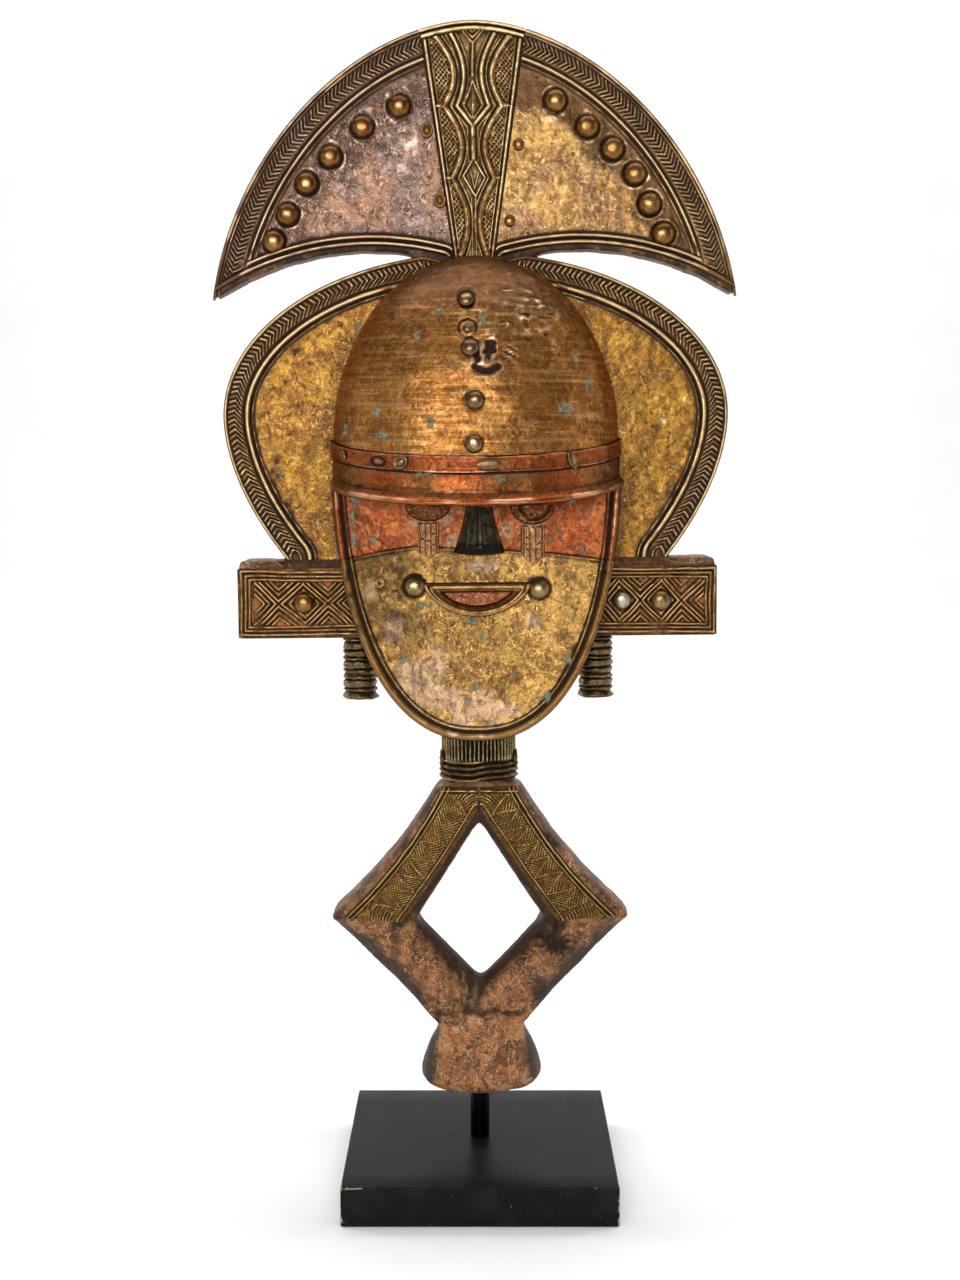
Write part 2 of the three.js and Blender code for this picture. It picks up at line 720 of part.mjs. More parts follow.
function faceShell() {
  const raised = (height) => (x, z, share) => faceFront(x, z, share) - height;
  const behind = (x, z, share) => faceFront(x, z, share) + SHEET;
  return platter(faceOutline(0, FACE_FACETS), faceMiddle, [
    [FACE_BREAK, raised(0)],
    [0.94, raised(0)],
    [0.965, raised(FACE_RIM_HEIGHT)],
    [1, raised(FACE_RIM_HEIGHT * 0.5)],
    [1, behind],
    [FACE_BREAK, behind],
  ]);
}
const shell = faceShell();
function lowerFace() {
  return shell.intersect(block(-FAR, FAR, -FAR, FAR, 0, CHEEK_LINE));
}
function cheek(side) {
  const near = GAP / 2;
  const x0 = side > 0 ? near : -FAR;
  return shell.intersect(block(x0, x0 + FAR - near, -FAR, FAR, CHEEK_LINE + GAP, faceTop + GAP));
}

// A low relief laid on the face: rows of [share, height over the sheet]
function laidOn(outline, middle, rows) {
  const base = (x, z) => onFace(x, z) - GAP;
  const fronts = rows.map(([share, height]) => [share, (x, z) => base(x, z) - height]);
  return platter(outline, middle, [...fronts, [1, base]]);
}

function nose() {
  const half = [[1, 0], [0.85, 0.45], [0.22, 1]];
  const section = [...half.map(([u, v]) => [-u, v]), ...half.reverse()];
  const rows = steps(4, (t) => {
    const z = lerp(NOSE_TOP, NOSE_FOOT, t);
    const wide = lerp(NOSE_TOP_WIDTH, NOSE_FOOT_WIDTH, t ** 1.3) / 2;
    const proud = lerp(NOSE_PROUD * 0.3, NOSE_PROUD, t);
    return section.map(([u, v]) => vec3(u * wide, onFace(u * wide, z) - GAP - v * proud, z));
  });
  return toSolid(loft(rows));
}

function eye(side, { x: distance, top, drop }) {
  const x = side * distance;
  const lid = steps(10, (t) => {
    const angle = Math.PI * t;
    return vec2(x + EYE_HALF_WIDTH * Math.cos(angle), top - drop * Math.sin(angle));
  });
  return laidOn(lid, vec2(x, top - drop * 0.45), [[0.6, EYE_PROUD], [1, SHEET]]);
}

function tearStrip(side, over, { halfWidth, length, point }) {
  const x = side * over.x;
  const top = over.top - over.drop - 2 * GAP;
  const outline = [
    vec2(x - halfWidth, top),
    vec2(x + halfWidth, top),
    vec2(x + halfWidth, top - length),
    vec2(x, top - length - point),
    vec2(x - halfWidth, top - length),
  ];
  return laidOn(outline, vec2(x, top - length / 2), [[0.8, SHEET], [1, SHEET * 0.7]]);
}

const halfMoon = (shrink, count) => steps(count, (t) => {
  const angle = Math.PI * t;
  const x = (MOUTH_HALF_WIDTH - shrink * 1.6) * Math.cos(angle);
  return vec2(x, MOUTH_Z - shrink * 0.8 - (MOUTH_DROP - shrink * 1.9) * Math.sin(angle));
});
function lips() {
  const middle = vec2(0, MOUTH_Z - MOUTH_DROP * 0.4);
  const outer = laidOn(halfMoon(0, 12), middle, [[0.88, MOUTH_PROUD], [1, SHEET]]);
  return outer.subtract(board(halfMoon(LIP_WIDTH, 12), -FAR, 0));
}
function mouthInset() {
  const middle = vec2(0, MOUTH_Z - MOUTH_DROP * 0.45);
  return laidOn(halfMoon(LIP_WIDTH + GAP, 12), middle, [[1, SHEET]]);
}

// Neck

function neckBore(z0, z1) {
  return toSolid(loft([oval(GAP, z0 - 1, NECK_FACETS), oval(GAP, z1 + 1, NECK_FACETS)]));
}
function neckWrap() {
  const fluted = (z) => {
    const rim = oval(WRAP_THICK, z, WRAP_FLUTES * 2);
    return rim.map((p, i) => {
      const pull = i % 2 === 0 ? 1 : 1 - 0.9 / NECK_HALF_WIDTH;
      return vec3(p.x * pull, p.y * pull, z);
    });
  };
  const inFront = (x, z, share) => faceFront(x, z, share) - HEAD_SIDE;
  const side = (x, z) => facePlane(z) + HEAD_SIDE;
  const head = platter(faceOutline(GAP, 12), faceMiddle, [
    [FACE_BREAK, inFront],
    [1, inFront],
    [1, side],
    [FACE_BACK_SHARE + 0.01, () => BOARD_BACK + GAP],
  ]);
  const sleeve = toSolid(loft([fluted(WRAP_FOOT), fluted(WRAP_TOP)]));
  return sleeve.subtract(neckBore(WRAP_FOOT, WRAP_TOP)).subtract(head);
}
function neckBinding() {
  const rings = [];
  const wound = WRAP_THICK + BINDING_WIRE / 2;
  for (let k = 0; k < BINDING_RINGS; k += 1) {
    const z = BINDING_FOOT + BINDING_WIRE * k;
    rings.push(oval(WRAP_THICK * 0.8, z, 14));
    rings.push(oval(wound, z + BINDING_WIRE * 0.5, 14));
  }
  const top = BINDING_FOOT + BINDING_WIRE * BINDING_RINGS;
  rings.push(oval(WRAP_THICK * 0.8, top, 14));
  return toSolid(loft(rings)).subtract(neckBore(BINDING_FOOT, top));
}

// Engraved sheets on the upper arms
function shoulderSheet(side) {
  const outer = shoulderLine(SHOULDER_SHEET_INSET, SHOULDER_SHEET_SHORT, 7);
  const meeting = vec2(2 * GAP, HOLE_TOP + SHOULDER_SHEET_LIP);
  const elbow = vec2(HOLE_HALF_WIDTH + SHOULDER_SHEET_LIP, HOLE_ELBOW_Z + GAP);
  const inner = new THREE.QuadraticBezierCurve(
    elbow,
    meeting.clone().add(elbow).multiplyScalar(0.5).addScalar(-1),
    meeting,
  ).getPoints(4);
  const outline = flip(side, [...outer, ...inner, vec2(meeting.x, outer[0].y)]);
  const back = ARM_FRONT - GAP;
  const plate = board(outline, back - SHEET, back);
  const lines = SHOULDER_LINES.map((inset) => {
    const path = flip(side, offset(outer, -inset));
    return ridge(path, RIDGE_WIDTH * 0.6, RIDGE_HEIGHT * 0.5, back - SHEET);
  });
  return fuse([plate, ...lines]).intersect(board(outline, back - DEEP, back + DEEP));
}

// Plates on the ear bar: nested frames round a row of crossings
const earLow = BAR_BOTTOM + 2 * GAP;
const earHigh = BAR_TOP - BAR_CHAMFER;
const earMiddle = (earLow + earHigh) / 2;
// Middles and half width of the two crossings, from their distances to the end of the bar
const earCrossings = (fromEnd) => ({
  middles: fromEnd.map((d) => BAR_HALF_WIDTH - d),
  reach: (fromEnd[1] - fromEnd[0]) / 2,
});
function earPlate(side, fromEnd) {
  const [low, high] = [earLow, earHigh];
  const hidden = FACE_HALF_WIDTH * 0.7;
  const back = BAR_FRONT - GAP;
  const face = back - SHEET;
  const corners = (inset) => [
    vec2(hidden, low + inset),
    vec2(BAR_HALF_WIDTH - inset, low + inset),
    vec2(BAR_HALF_WIDTH - inset, high - inset),
    vec2(hidden, high - inset),
  ];
  const plate = board(flip(side, corners(0)), face, back);
  const line = (from, to, width) => ridge(flip(side, [from, to]), width, RIDGE_HEIGHT, face);
  const frames = [EAR_FRAME_WIDTH * 0.6, EAR_FRAME_WIDTH * 2.2].flatMap((inset) => {
    const c = corners(inset);
    return [0, 1, 2].map((k) => line(c[k], c[k + 1], EAR_FRAME_WIDTH));
  });
  const rise = (high - low) / 2 - EAR_FRAME_WIDTH * 3;
  const { middles, reach } = earCrossings(fromEnd);
  const crosses = middles.flatMap((x) => [-1, 1].map((turn) => {
    const ends = [-1, 1].map((end) => vec2(x + end * reach, earMiddle + end * turn * rise));
    return line(ends[0], ends[1], RIDGE_WIDTH);
  }));
  return fuse([plate, ...frames, ...crosses]).subtract(shadow);
}

// Turned small parts

function studGeometry(radius) {
  const crown = radius * 0.72;
  const shoulder = [radius * 0.9, crown * 0.55];
  const profile = [[0, 0], [radius, 0], shoulder, [radius * 0.5, crown * 0.92], [0, crown]];
  return toGeometry(toSolid(turned(profile, radius > RIVET ? 8 : 6)));
}
function coilGeometry() {
  const pitch = COIL_LENGTH / COIL_RINGS;
  const profile = [[0, 0]];
  for (let k = 0; k < COIL_RINGS; k += 1) {
    const radius = k === 0 ? COIL_RADIUS + COIL_FOOT_PROUD : COIL_RADIUS;
    profile.push([COIL_RADIUS - COIL_GROOVE, pitch * k], [radius, pitch * (k + 0.5)]);
  }
  profile.push([COIL_RADIUS - COIL_GROOVE, COIL_LENGTH], [0, COIL_LENGTH]);
  return toGeometry(toSolid(turned(profile, 8)));
}

// Finishes

const finish = (color, roughness, metalness) => ({ color, roughness, metalness });
const WOOD = finish('#6e4630', 0.75, 0);
const BRASS = finish('#a8853f', 0.42, 1);
const DARK_BRASS = finish('#6f5430', 0.5, 1);
const GREY_COPPER = finish('#7d6457', 0.45, 1);
const TAN_BRASS = finish('#a5814e', 0.45, 1);
const BROWN_BRASS = finish('#8a5a2c', 0.4, 1);
const COPPER = finish('#a2492b', 0.45, 1);
const DARK_IRON = finish('#3a352c', 0.55, 1);
const BLACK_PAINT = finish('#161616', 0.45, 0);

const figure = new THREE.Group();
figure.rotation.y = -THREE.MathUtils.degToRad(LEAN_DEGREES);
figure.position.set(FIGURE_SHIFT, 0, BASE_THICK + ROD_LENGTH);

const model = new THREE.Group();
model.add(figure);

function addTo(group, name, geometry, look) {
  const material = new THREE.MeshStandardMaterial(look);
  const mesh = new THREE.Mesh(geometry, material);
  mesh.name = name;
  group.add(mesh);
  return mesh;
}
const addSolid = (name, solid, look) => addTo(figure, name, toGeometry(solid), look);

// A stud or other turned piece whose foot sits at a point and whose axis follows a direction
function addTurned(name, geometry, at, direction, look) {
  const mesh = addTo(figure, name, geometry, look);
  mesh.position.copy(at).addScaledVector(direction, GAP);
  mesh.quaternion.setFromUnitVectors(vec3(0, 0, 1), direction);
  return mesh;
}

// Stand
const baseGeometry = new THREE.BoxGeometry(BASE_SIDE, BASE_SIDE, BASE_THICK);
const baseMesh = addTo(model, 'base', baseGeometry, BLACK_PAINT);
baseMesh.position.z = BASE_THICK / 2;
const rodHeight = ROD_LENGTH - 2 * GAP;
const rodGeometry = new THREE.CylinderGeometry(ROD_DIAMETER / 2, ROD_DIAMETER / 2, rodHeight, 20);
rodGeometry.rotateX(Math.PI / 2);
const rodMesh = addTo(model, 'mount_rod', rodGeometry, BLACK_PAINT);
rodMesh.position.z = BASE_THICK + ROD_LENGTH / 2;

addSolid('wooden_core', woodSolid, WOOD);

const LEFT = -1;
const RIGHT = 1;
addSolid('crest_sheet_left', crestSheet(LEFT), GREY_COPPER);
addSolid('crest_sheet_right', crestSheet(RIGHT), TAN_BRASS);
addSolid('crest_centre_strip', crestStrip(), DARK_BRASS);
addSolid('wing_sheet_left', wingSheet(LEFT), BRASS);
addSolid('wing_sheet_right', wingSheet(RIGHT), BRASS);
addSolid('forehead_sheet', foreheadSheet(), BROWN_BRASS);
addSolid('brow_band_upper', upperBand(), COPPER);
addSolid('brow_band_lower', lowerBand(), COPPER);
addSolid('cheek_sheet_left', cheek(LEFT), COPPER);
addSolid('cheek_sheet_right', cheek(RIGHT), COPPER);
addSolid('face_sheet', lowerFace(), BRASS);
addSolid('nose', nose(), DARK_IRON);
addSolid('eye_left', eye(LEFT, EYE_LEFT), DARK_BRASS);
addSolid('eye_right', eye(RIGHT, EYE_RIGHT), DARK_BRASS);
addSolid('tear_strip_left', tearStrip(LEFT, EYE_LEFT, TEAR_LEFT), BRASS);
addSolid('tear_strip_right', tearStrip(RIGHT, EYE_RIGHT, TEAR_RIGHT), BRASS);
addSolid('mouth_lips', lips(), DARK_BRASS);
addSolid('mouth_inset', mouthInset(), COPPER);
addSolid('neck_wrap', neckWrap(), DARK_BRASS);
addSolid('neck_binding', neckBinding(), DARK_BRASS);
addSolid('shoulder_sheet_left', shoulderSheet(LEFT), BRASS);
addSolid('shoulder_sheet_right', shoulderSheet(RIGHT), BRASS);
addSolid('ear_plate_left', earPlate(LEFT, EAR_CROSSINGS_LEFT), DARK_BRASS);
addSolid('ear_plate_right', earPlate(RIGHT, EAR_CROSSINGS_RIGHT), DARK_BRASS);

// Studs of the crest as [share of the way to the tip, distance from the border], hammered in by eye,
// and its rivets as [share of the strip's height, distance from the strip]
const forward = vec3(0, -1, 0);
const crestStuds = {
  left: [[0.302, 6.9], [0.426, 4.6], [0.547, 3.5], [0.641, 2], [0.736, 1.3], [0.815, 0.4]],
  right: [[0.32, 3.1], [0.438, 3.9], [0.53, 3], [0.618, 2.2], [0.706, 4], [0.794, 4.3]],
};
const crestRivets = { left: [[0.535, 4.2], [0.238, 2.9]], right: [[0.472, 4.7], [0.147, 5.1]] };
for (const [sideName, side] of [['left', LEFT], ['right', RIGHT]]) {
  crestStuds[sideName].forEach(([share, beyond], i) => {
    const near = steps(2, (t) => crestEdge(crestTipAngle * (share + 0.01 * (t - 0.5))));
    const p = offset(near, -(CREST_BORDER + CREST_STUD + beyond))[1];
    const at = vec3(side * p.x, sheetFace, p.y);
    addTurned(`crest_stud_${sideName}_${i + 1}`, studGeometry(CREST_STUD), at, forward, DARK_BRASS);
  });
  crestRivets[sideName].forEach(([share, beyond], i) => {
    const z = lerp(domeTop, crestTop, share);
    const at = vec3(side * (stripHalfWidth(z) + beyond), sheetFace, z);
    addTurned(`crest_rivet_${sideName}_${i + 1}`, studGeometry(RIVET), at, forward, DARK_BRASS);
  });
}

// A point of the forehead at an x and a turn upwards, and the way the sheet faces there
function onDome(x, turn) {
  const at = (angle, px) => {
    const round = Math.cos(angle);
    const across = px / (DOME_HALF_WIDTH * round);
    const y = sheetBack - DOME_DEPTH * round * Math.sqrt(1 - across * across);
    return vec3(px, y, DOME_FOOT + DOME_RISE * Math.sin(angle) + dip(y) * round);
  };
  const up = at(turn + 0.02, x).sub(at(turn, x));
  const across = at(turn, x + 0.5).sub(at(turn, x - 0.5));
  return { at: at(turn, x), facing: across.cross(up).normalize() };
}

// Studs down the forehead, as [x, share of the turn up to its top, radius]; the second is a broken nail
const browStuds = [
  [-3.8, 0.570, BROW_STUD * 0.9],
  [-3.3, 0.442, BROW_STUD * 0.6],
  [-2.2, 0.370, BROW_STUD],
  [-0.1, 0.186, BROW_STUD],
  [-0.7, 0.039, BROW_STUD],
];
browStuds.forEach(([x, share, radius], i) => {
  const place = onDome(x, (share * Math.PI) / 2);
  addTurned(`forehead_stud_${i + 1}`, studGeometry(radius), place.at, place.facing, DARK_BRASS);
});

// Clips that pin the upper band, as [share of its half width, width, height, turn], where width and
// height are shares of the band's height
const clips = [
  [-0.885, 0.53, 0.67, 0],
  [-0.498, 0.87, 0.56, 0],
  [0.089, 1.27, 0.5, 0],
  [0.635, 0.64, 0.83, 0.35],
];
clips.forEach(([share, width, height, turn], i) => {
  const halfWidth = DOME_HALF_WIDTH + BAND_PROUD;
  const depth = DOME_DEPTH + BAND_PROUD;
  const angle = Math.acos(share);
  const y = sheetBack - depth * Math.sin(angle);
  const facing = vec3(Math.cos(angle) / halfWidth, -Math.sin(angle) / depth, 0).normalize();
  const at = vec3(share * halfWidth, y, bandFoot + BAND_HEIGHT / 2 + dip(y));
  const geometry = new THREE.BoxGeometry(width * BAND_HEIGHT, height * BAND_HEIGHT, SHEET);
  const clip = addTo(figure, `band_clip_${i + 1}`, geometry, DARK_BRASS);
  clip.position.copy(at).addScaledVector(facing, GAP + SHEET / 2);
  const across = vec3(-facing.y, facing.x, 0);
  clip.quaternion.setFromRotationMatrix(new THREE.Matrix4().makeBasis(across, vec3(0, 0, 1), facing));
  clip.rotateZ(turn);
});

// Studs of mouth and ear plates
function facingOfFace(x, z) {
  const slopeX = onFace(x + 1, z) - onFace(x - 1, z);
  const slopeZ = onFace(x, z + 1) - onFace(x, z - 1);
  return vec3(slopeX / 2, -1, slopeZ / 2).normalize();
}
for (const [sideName, side, drop] of [['left', LEFT, 0.7], ['right', RIGHT, 2.4]]) {
  const x = side * (MOUTH_HALF_WIDTH + MOUTH_STUD + GAP);
  const z = MOUTH_Z - drop;
  const at = vec3(x, onFace(x, z), z);
  addTurned(`mouth_stud_${sideName}`, studGeometry(MOUTH_STUD), at, facingOfFace(x, z), DARK_BRASS);
}
const earLeft = earCrossings(EAR_CROSSINGS_LEFT);
const earRight = earCrossings(EAR_CROSSINGS_RIGHT);
const earStuds = [
  [LEFT * (earLeft.middles[1] + earLeft.reach), EAR_STUD],
  [earRight.middles[1] + earRight.reach, EAR_STUD],
  [earRight.middles[1] - earRight.reach * 0.86, EAR_STUD * 0.85],
];
earStuds.forEach(([x, radius], i) => {
  const at = vec3(x, BAR_FRONT - GAP - SHEET, earMiddle);
  addTurned(`ear_stud_${i + 1}`, studGeometry(radius), at, forward, DARK_BRASS);
});

// Coiled ear drops under the bar
for (const [sideName, side] of [['left', LEFT], ['right', RIGHT]]) {
  const coil = addTo(figure, `ear_coil_${sideName}`, coilGeometry(), DARK_BRASS);
  coil.position.set(side * COIL_X, COIL_Y, BAR_BOTTOM - GAP - COIL_LENGTH);
}

export default model;
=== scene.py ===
# %% [markdown]
# # A guardian figure in hammered metal
# The figure is one piece of carved wood covered with thin sheets of brass and copper. The sheets were
# worked from the back and chased from the front, so nearly all of what the eye enjoys is relief of less
# than two millimetres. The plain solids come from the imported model, and this lesson dresses them.

# %% Load the frame
import math

import bpy
import numpy as np
from mathutils import Matrix, Vector


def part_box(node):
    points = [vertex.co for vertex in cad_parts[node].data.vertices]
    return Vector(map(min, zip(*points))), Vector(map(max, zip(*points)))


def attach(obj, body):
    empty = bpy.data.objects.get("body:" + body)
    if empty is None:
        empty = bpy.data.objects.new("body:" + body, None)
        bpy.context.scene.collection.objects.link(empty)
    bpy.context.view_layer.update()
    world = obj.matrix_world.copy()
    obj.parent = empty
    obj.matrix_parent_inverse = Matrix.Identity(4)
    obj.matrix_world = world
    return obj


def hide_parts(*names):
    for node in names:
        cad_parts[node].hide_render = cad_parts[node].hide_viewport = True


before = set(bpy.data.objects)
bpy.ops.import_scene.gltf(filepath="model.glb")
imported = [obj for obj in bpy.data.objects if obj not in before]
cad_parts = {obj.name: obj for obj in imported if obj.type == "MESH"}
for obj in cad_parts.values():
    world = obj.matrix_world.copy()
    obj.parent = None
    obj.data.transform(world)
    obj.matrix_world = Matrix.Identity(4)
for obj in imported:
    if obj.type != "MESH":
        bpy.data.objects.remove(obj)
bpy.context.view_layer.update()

print(len(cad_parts), "solids loaded")

# %% [markdown]
# The photograph was taken from straight in front, a little above the middle of the stand, with a long
# lens. The camera stands 0.86 m from the rod and looks down by less than six degrees.

# %% Camera
LENS_IN_PIXELS = 1771.28
PICTURE_HEIGHT = 1280
SENSOR = 36
CAMERA_PLACE = (0, -0.85757, 0.35362)
CAMERA_TILT = math.radians(84.3054)
lens = bpy.data.cameras.new("camera")
lens.sensor_fit = "VERTICAL"
lens.sensor_height = SENSOR
lens.lens = SENSOR * LENS_IN_PIXELS / PICTURE_HEIGHT
camera = bpy.data.objects.new("camera", lens)
camera.location = CAMERA_PLACE
camera.rotation_euler = (CAMERA_TILT, 0, 0)
scene = bpy.context.scene
scene.collection.objects.link(camera)
scene.camera = camera
print("lens of", round(lens.lens, 1), "mm")

# %% [markdown]
# Almost every piece here is a sheet, so almost every mesh starts as a flat grid whose points are then
# laid out over a form. A grid keeps its rows and columns, and relief can be drawn along them.

# %% Laid grids
def only(piece):
    """Deselects everything but this piece and makes it active."""
    bpy.ops.object.select_all(action="DESELECT")
    piece.select_set(True)
    bpy.context.view_layer.objects.active = piece


def points_of(piece):
    points = np.empty(len(piece.data.vertices) * 3)
    piece.data.vertices.foreach_get("co", points)
    return points.reshape(-1, 3)


def move_points(piece, points):
    piece.data.vertices.foreach_set("co", np.ascontiguousarray(points, np.float32).ravel())
    piece.data.update()


def laid_grid(name, across, up, place):
    """A grid of across by up faces whose points are laid out by place(u, v), both running from 0 to 1."""
    bpy.ops.object.select_all(action="DESELECT")
    bpy.ops.mesh.primitive_grid_add(x_subdivisions=across, y_subdivisions=up, size=1)
    piece = bpy.context.object
    piece.name = piece.data.name = name
    flat = points_of(piece) + 0.5
    move_points(piece, place(flat[:, 0], flat[:, 1]))
    return piece


print("grids can be laid over any form")

# %% [markdown]
# A studio sweep is one sheet of white paper: floor, bend and wall in one. A grid is laid along that
# profile, so no line shows where the floor ends. Its white is as light as the picture's.

# %% Studio sweep
SWEEP_WIDTH = 7
SWEEP_LENGTH = 6.4
FLOOR_FRONT = -2.6
FLOOR_END = 1.4
BEND_RADIUS = 0.9


def sweep_place(u, v):
    length = v * SWEEP_LENGTH + FLOOR_FRONT
    bend = np.clip((length - FLOOR_END) / BEND_RADIUS, 0, math.pi / 2)
    y = np.minimum(length, FLOOR_END) + BEND_RADIUS * np.sin(bend)
    wall = np.clip(length - FLOOR_END - BEND_RADIUS * math.pi / 2, 0, None)
    return np.stack([(u - 0.5) * SWEEP_WIDTH, y, BEND_RADIUS * (1 - np.cos(bend)) + wall], 1)


sweep = laid_grid("studio_sweep", 2, 64, sweep_place)
only(sweep)
bpy.ops.object.shade_smooth()
print("studio sweep with", len(sweep.data.polygons), "faces")

# %% [markdown]
# Hammered metal is drawn by what it mirrors. A soft box at the camera puts the small warm light near the
# middle of each stud. Two weaker boxes and two strips rake the relief from the sides. A wide box above
# lights the paper, and the dim room round them leaves the studs' rims dark.

# %% Lights
def soft_box(name, place, aim, width, height, watts, tint):
    light = bpy.data.lights.new(name, "AREA")
    light.shape = "RECTANGLE"
    light.size = width
    light.size_y = height
    light.energy = watts
    light.color = tint
    lamp = bpy.data.objects.new(name, light)
    lamp.location = place
    lamp.rotation_euler = (Vector(aim) - Vector(place)).to_track_quat("-Z", "Y").to_euler()
    scene.collection.objects.link(lamp)


MIDDLE = (0, 0, 0.3)
NEUTRAL = (1, 1, 1)
WARM = (1, 0.95, 0.88)
ROOM_STRENGTH = 0.12
soft_box("front_box", (-0.25, -1.45, 0.6), MIDDLE, 1.0, 0.55, 9.5, (1, 0.98, 0.95))
soft_box("left_strip", (-1.3, 0.5, 0.75), MIDDLE, 0.3, 1.2, 7, NEUTRAL)
soft_box("right_strip", (1.3, 0.5, 0.75), MIDDLE, 0.3, 1.2, 7, NEUTRAL)
soft_box("right_side", (1.5, -0.55, 0.6), MIDDLE, 0.9, 1.2, 3.3, WARM)
soft_box("left_side", (-1.5, -0.55, 0.6), MIDDLE, 0.9, 1.2, 2.0, WARM)
soft_box("top_box", (0, 0.2, 1.9), (0, 0.2, 0), 2.6, 2.2, 29, NEUTRAL)
soft_box("wall_light", (0, 1.2, 2.2), (0, 2.6, 0.9), 2.4, 0.6, 22, NEUTRAL)
world = bpy.data.worlds.new("room")
world.use_nodes = True
world.node_tree.nodes["Background"].inputs["Color"].default_value = (1, 1, 1, 1)
world.node_tree.nodes["Background"].inputs["Strength"].default_value = ROOM_STRENGTH
scene.world = world
scene.view_settings.view_transform = "Standard"
print(len(bpy.data.lights), "lights and a pale room")

# %% [markdown]
# All finishes are made of nodes. One function adds a node with its settings and links. Colours are
# written as hex codes, as a paint card has them, and turned to linear light.

# %% Colours and nodes
def colour(code):
    """A hex colour such as #b08d4a as linear red, green, blue and alpha."""
    parts = [int(code[i:i + 2], 16) / 255 for i in (1, 3, 5)]
    return (*[p / 12.92 if p <= 0.04045 else ((p + 0.055) / 1.055) ** 2.4 for p in parts], 1)


def add(tree, kind, settings=None, links=None):
    """Adds a node, sets its properties, and fills its sockets with values or other nodes' sockets."""
    node = tree.nodes.new("ShaderNode" + kind)
    for name, value in (settings or {}).items():
        setattr(node, name, value)
    for socket, value in (links or {}).items():
        if isinstance(value, bpy.types.NodeSocket):
            tree.links.new(value, node.inputs[socket])
        else:
            node.inputs[socket].default_value = value
    return node


print("brass in linear light:", [round(part, 3) for part in colour("#b08d4a")])

# %% [markdown]
# A finish is built as a painter would, one layer over the last, each laid only where a pattern lets it
# through. The patterns are clouds of a real size, and a curling stroke is one level of such a cloud.

# %% A finish in layers
class Finish:
    """A material under construction: the colour, roughness and metal that its layers give so far."""

    def __init__(self, name, base, rough, metal):
        self.material = bpy.data.materials.new(name)
        self.material.use_nodes = True
        self.tree = self.material.node_tree
        self.tree.nodes.clear()
        self.place = add(self.tree, "TexCoord").outputs["Object"]
        self.colour = colour(base)
        self.rough = rough
        self.metal = metal

    def clouds(self, size, detail=3, bend=0.0, stretch=(1, 1, 1), shift=0.0):
        """A cloudy pattern whose clouds are about this many millimetres across."""
        at = add(self.tree, "Mapping", links={
            "Vector": self.place, "Location": (shift, shift, shift), "Scale": stretch}).outputs[0]
        return add(self.tree, "TexNoise", {"noise_dimensions": "3D"}, {
            "Vector": at, "Scale": 1000 / size, "Detail": detail, "Roughness": 0.5,
            "Distortion": bend}).outputs["Fac"]

    def off_level(self, clouds, level):
        """How far a pattern is from one of its levels: nothing along a fine curling line."""
        above = add(self.tree, "Math", {"operation": "SUBTRACT"}, {0: clouds, 1: level}).outputs[0]
        return add(self.tree, "Math", {"operation": "ABSOLUTE"}, {0: above, 1: 0}).outputs[0]

    def lay(self, code, *where, rough=None, metal=None):
        """Lays a colour over the finish, with its own roughness and metal. Each where is a share from 0 to
        1, or (pattern, low, high, most), a share that rises to most as the pattern goes from low to high.
        The colour lies where all of them let it."""
        share = None
        for shown in where:
            if isinstance(shown, tuple):
                pattern, low, high, most = shown
                shown = add(self.tree, "MapRange", {"interpolation_type": "SMOOTHSTEP"}, {
                    "Value": pattern, "From Min": low, "From Max": high, "To Max": most}).outputs[0]
            if share is None:
                share = shown
            else:
                share = add(self.tree, "Math", {"operation": "MULTIPLY"}, {0: share, 1: shown}).outputs[0]
        self.colour = add(self.tree, "Mix", {"data_type": "RGBA"}, {
            0: share, 6: self.colour, 7: colour(code)}).outputs[2]
        if rough is not None:
            self.rough = add(self.tree, "Mix", {"data_type": "FLOAT"}, {
                0: share, 2: self.rough, 3: rough}).outputs[0]
        if metal is not None:
            self.metal = add(self.tree, "Mix", {"data_type": "FLOAT"}, {
                0: share, 2: self.metal, 3: metal}).outputs[0]

    def done(self, bumps=(), gloss=0.5):
        """Joins all to the shader. Each bump is a pattern and its depth in millimetres."""
        shader = add(self.tree, "BsdfPrincipled", links={
            "Base Color": self.colour, "Roughness": self.rough, "Metallic": self.metal,
            "Specular IOR Level": gloss})
        normal = None
        for height, depth in bumps:
            links = {"Height": height, "Strength": 1.0, "Distance": depth / 1000}
            if normal:
                links["Normal"] = normal
            normal = add(self.tree, "Bump", links=links).outputs["Normal"]
        if normal:
            self.tree.links.new(normal, shader.inputs["Normal"])
        add(self.tree, "OutputMaterial", links={0: shader.outputs[0]})
        return self.material


print(len(bpy.data.materials), "materials before the first finish")

# %% [markdown]
# The paper of the sweep is matt, white and faintly clouded, so that it takes only a soft shadow round
# the base.

# %% White paper
# Seamless background paper, rolled and uncoated: it gives the eye nothing to rest on.
paper = Finish("white_seamless_paper", "#ffffff", 0.9, 0.0)
paper.lay("#f6f6f6", (paper.clouds(60), 0.4, 0.7, 0.3))
sweep.data.materials.append(paper.done())
print("white paper")

# %% [markdown]
# The figure leans by half a degree on its rod. Each piece is drawn upright in millimetres above the
# figure's foot, where sums are easy, and then one matrix leans it, lifts it and turns it to metres.

# %% From the figure's own millimetres to the scene
LEAN = math.radians(0.5)
FOOT_SHIFT = 0.8
STAND_HEIGHT = 47.0
to_scene = (Matrix.Translation((FOOT_SHIFT / 1000, 0, STAND_HEIGHT / 1000))
            @ Matrix.Rotation(-LEAN, 4, "Y") @ Matrix.Scale(0.001, 4))
to_figure = to_scene.inverted()
print("the foot stands", STAND_HEIGHT, "mm above the floor")

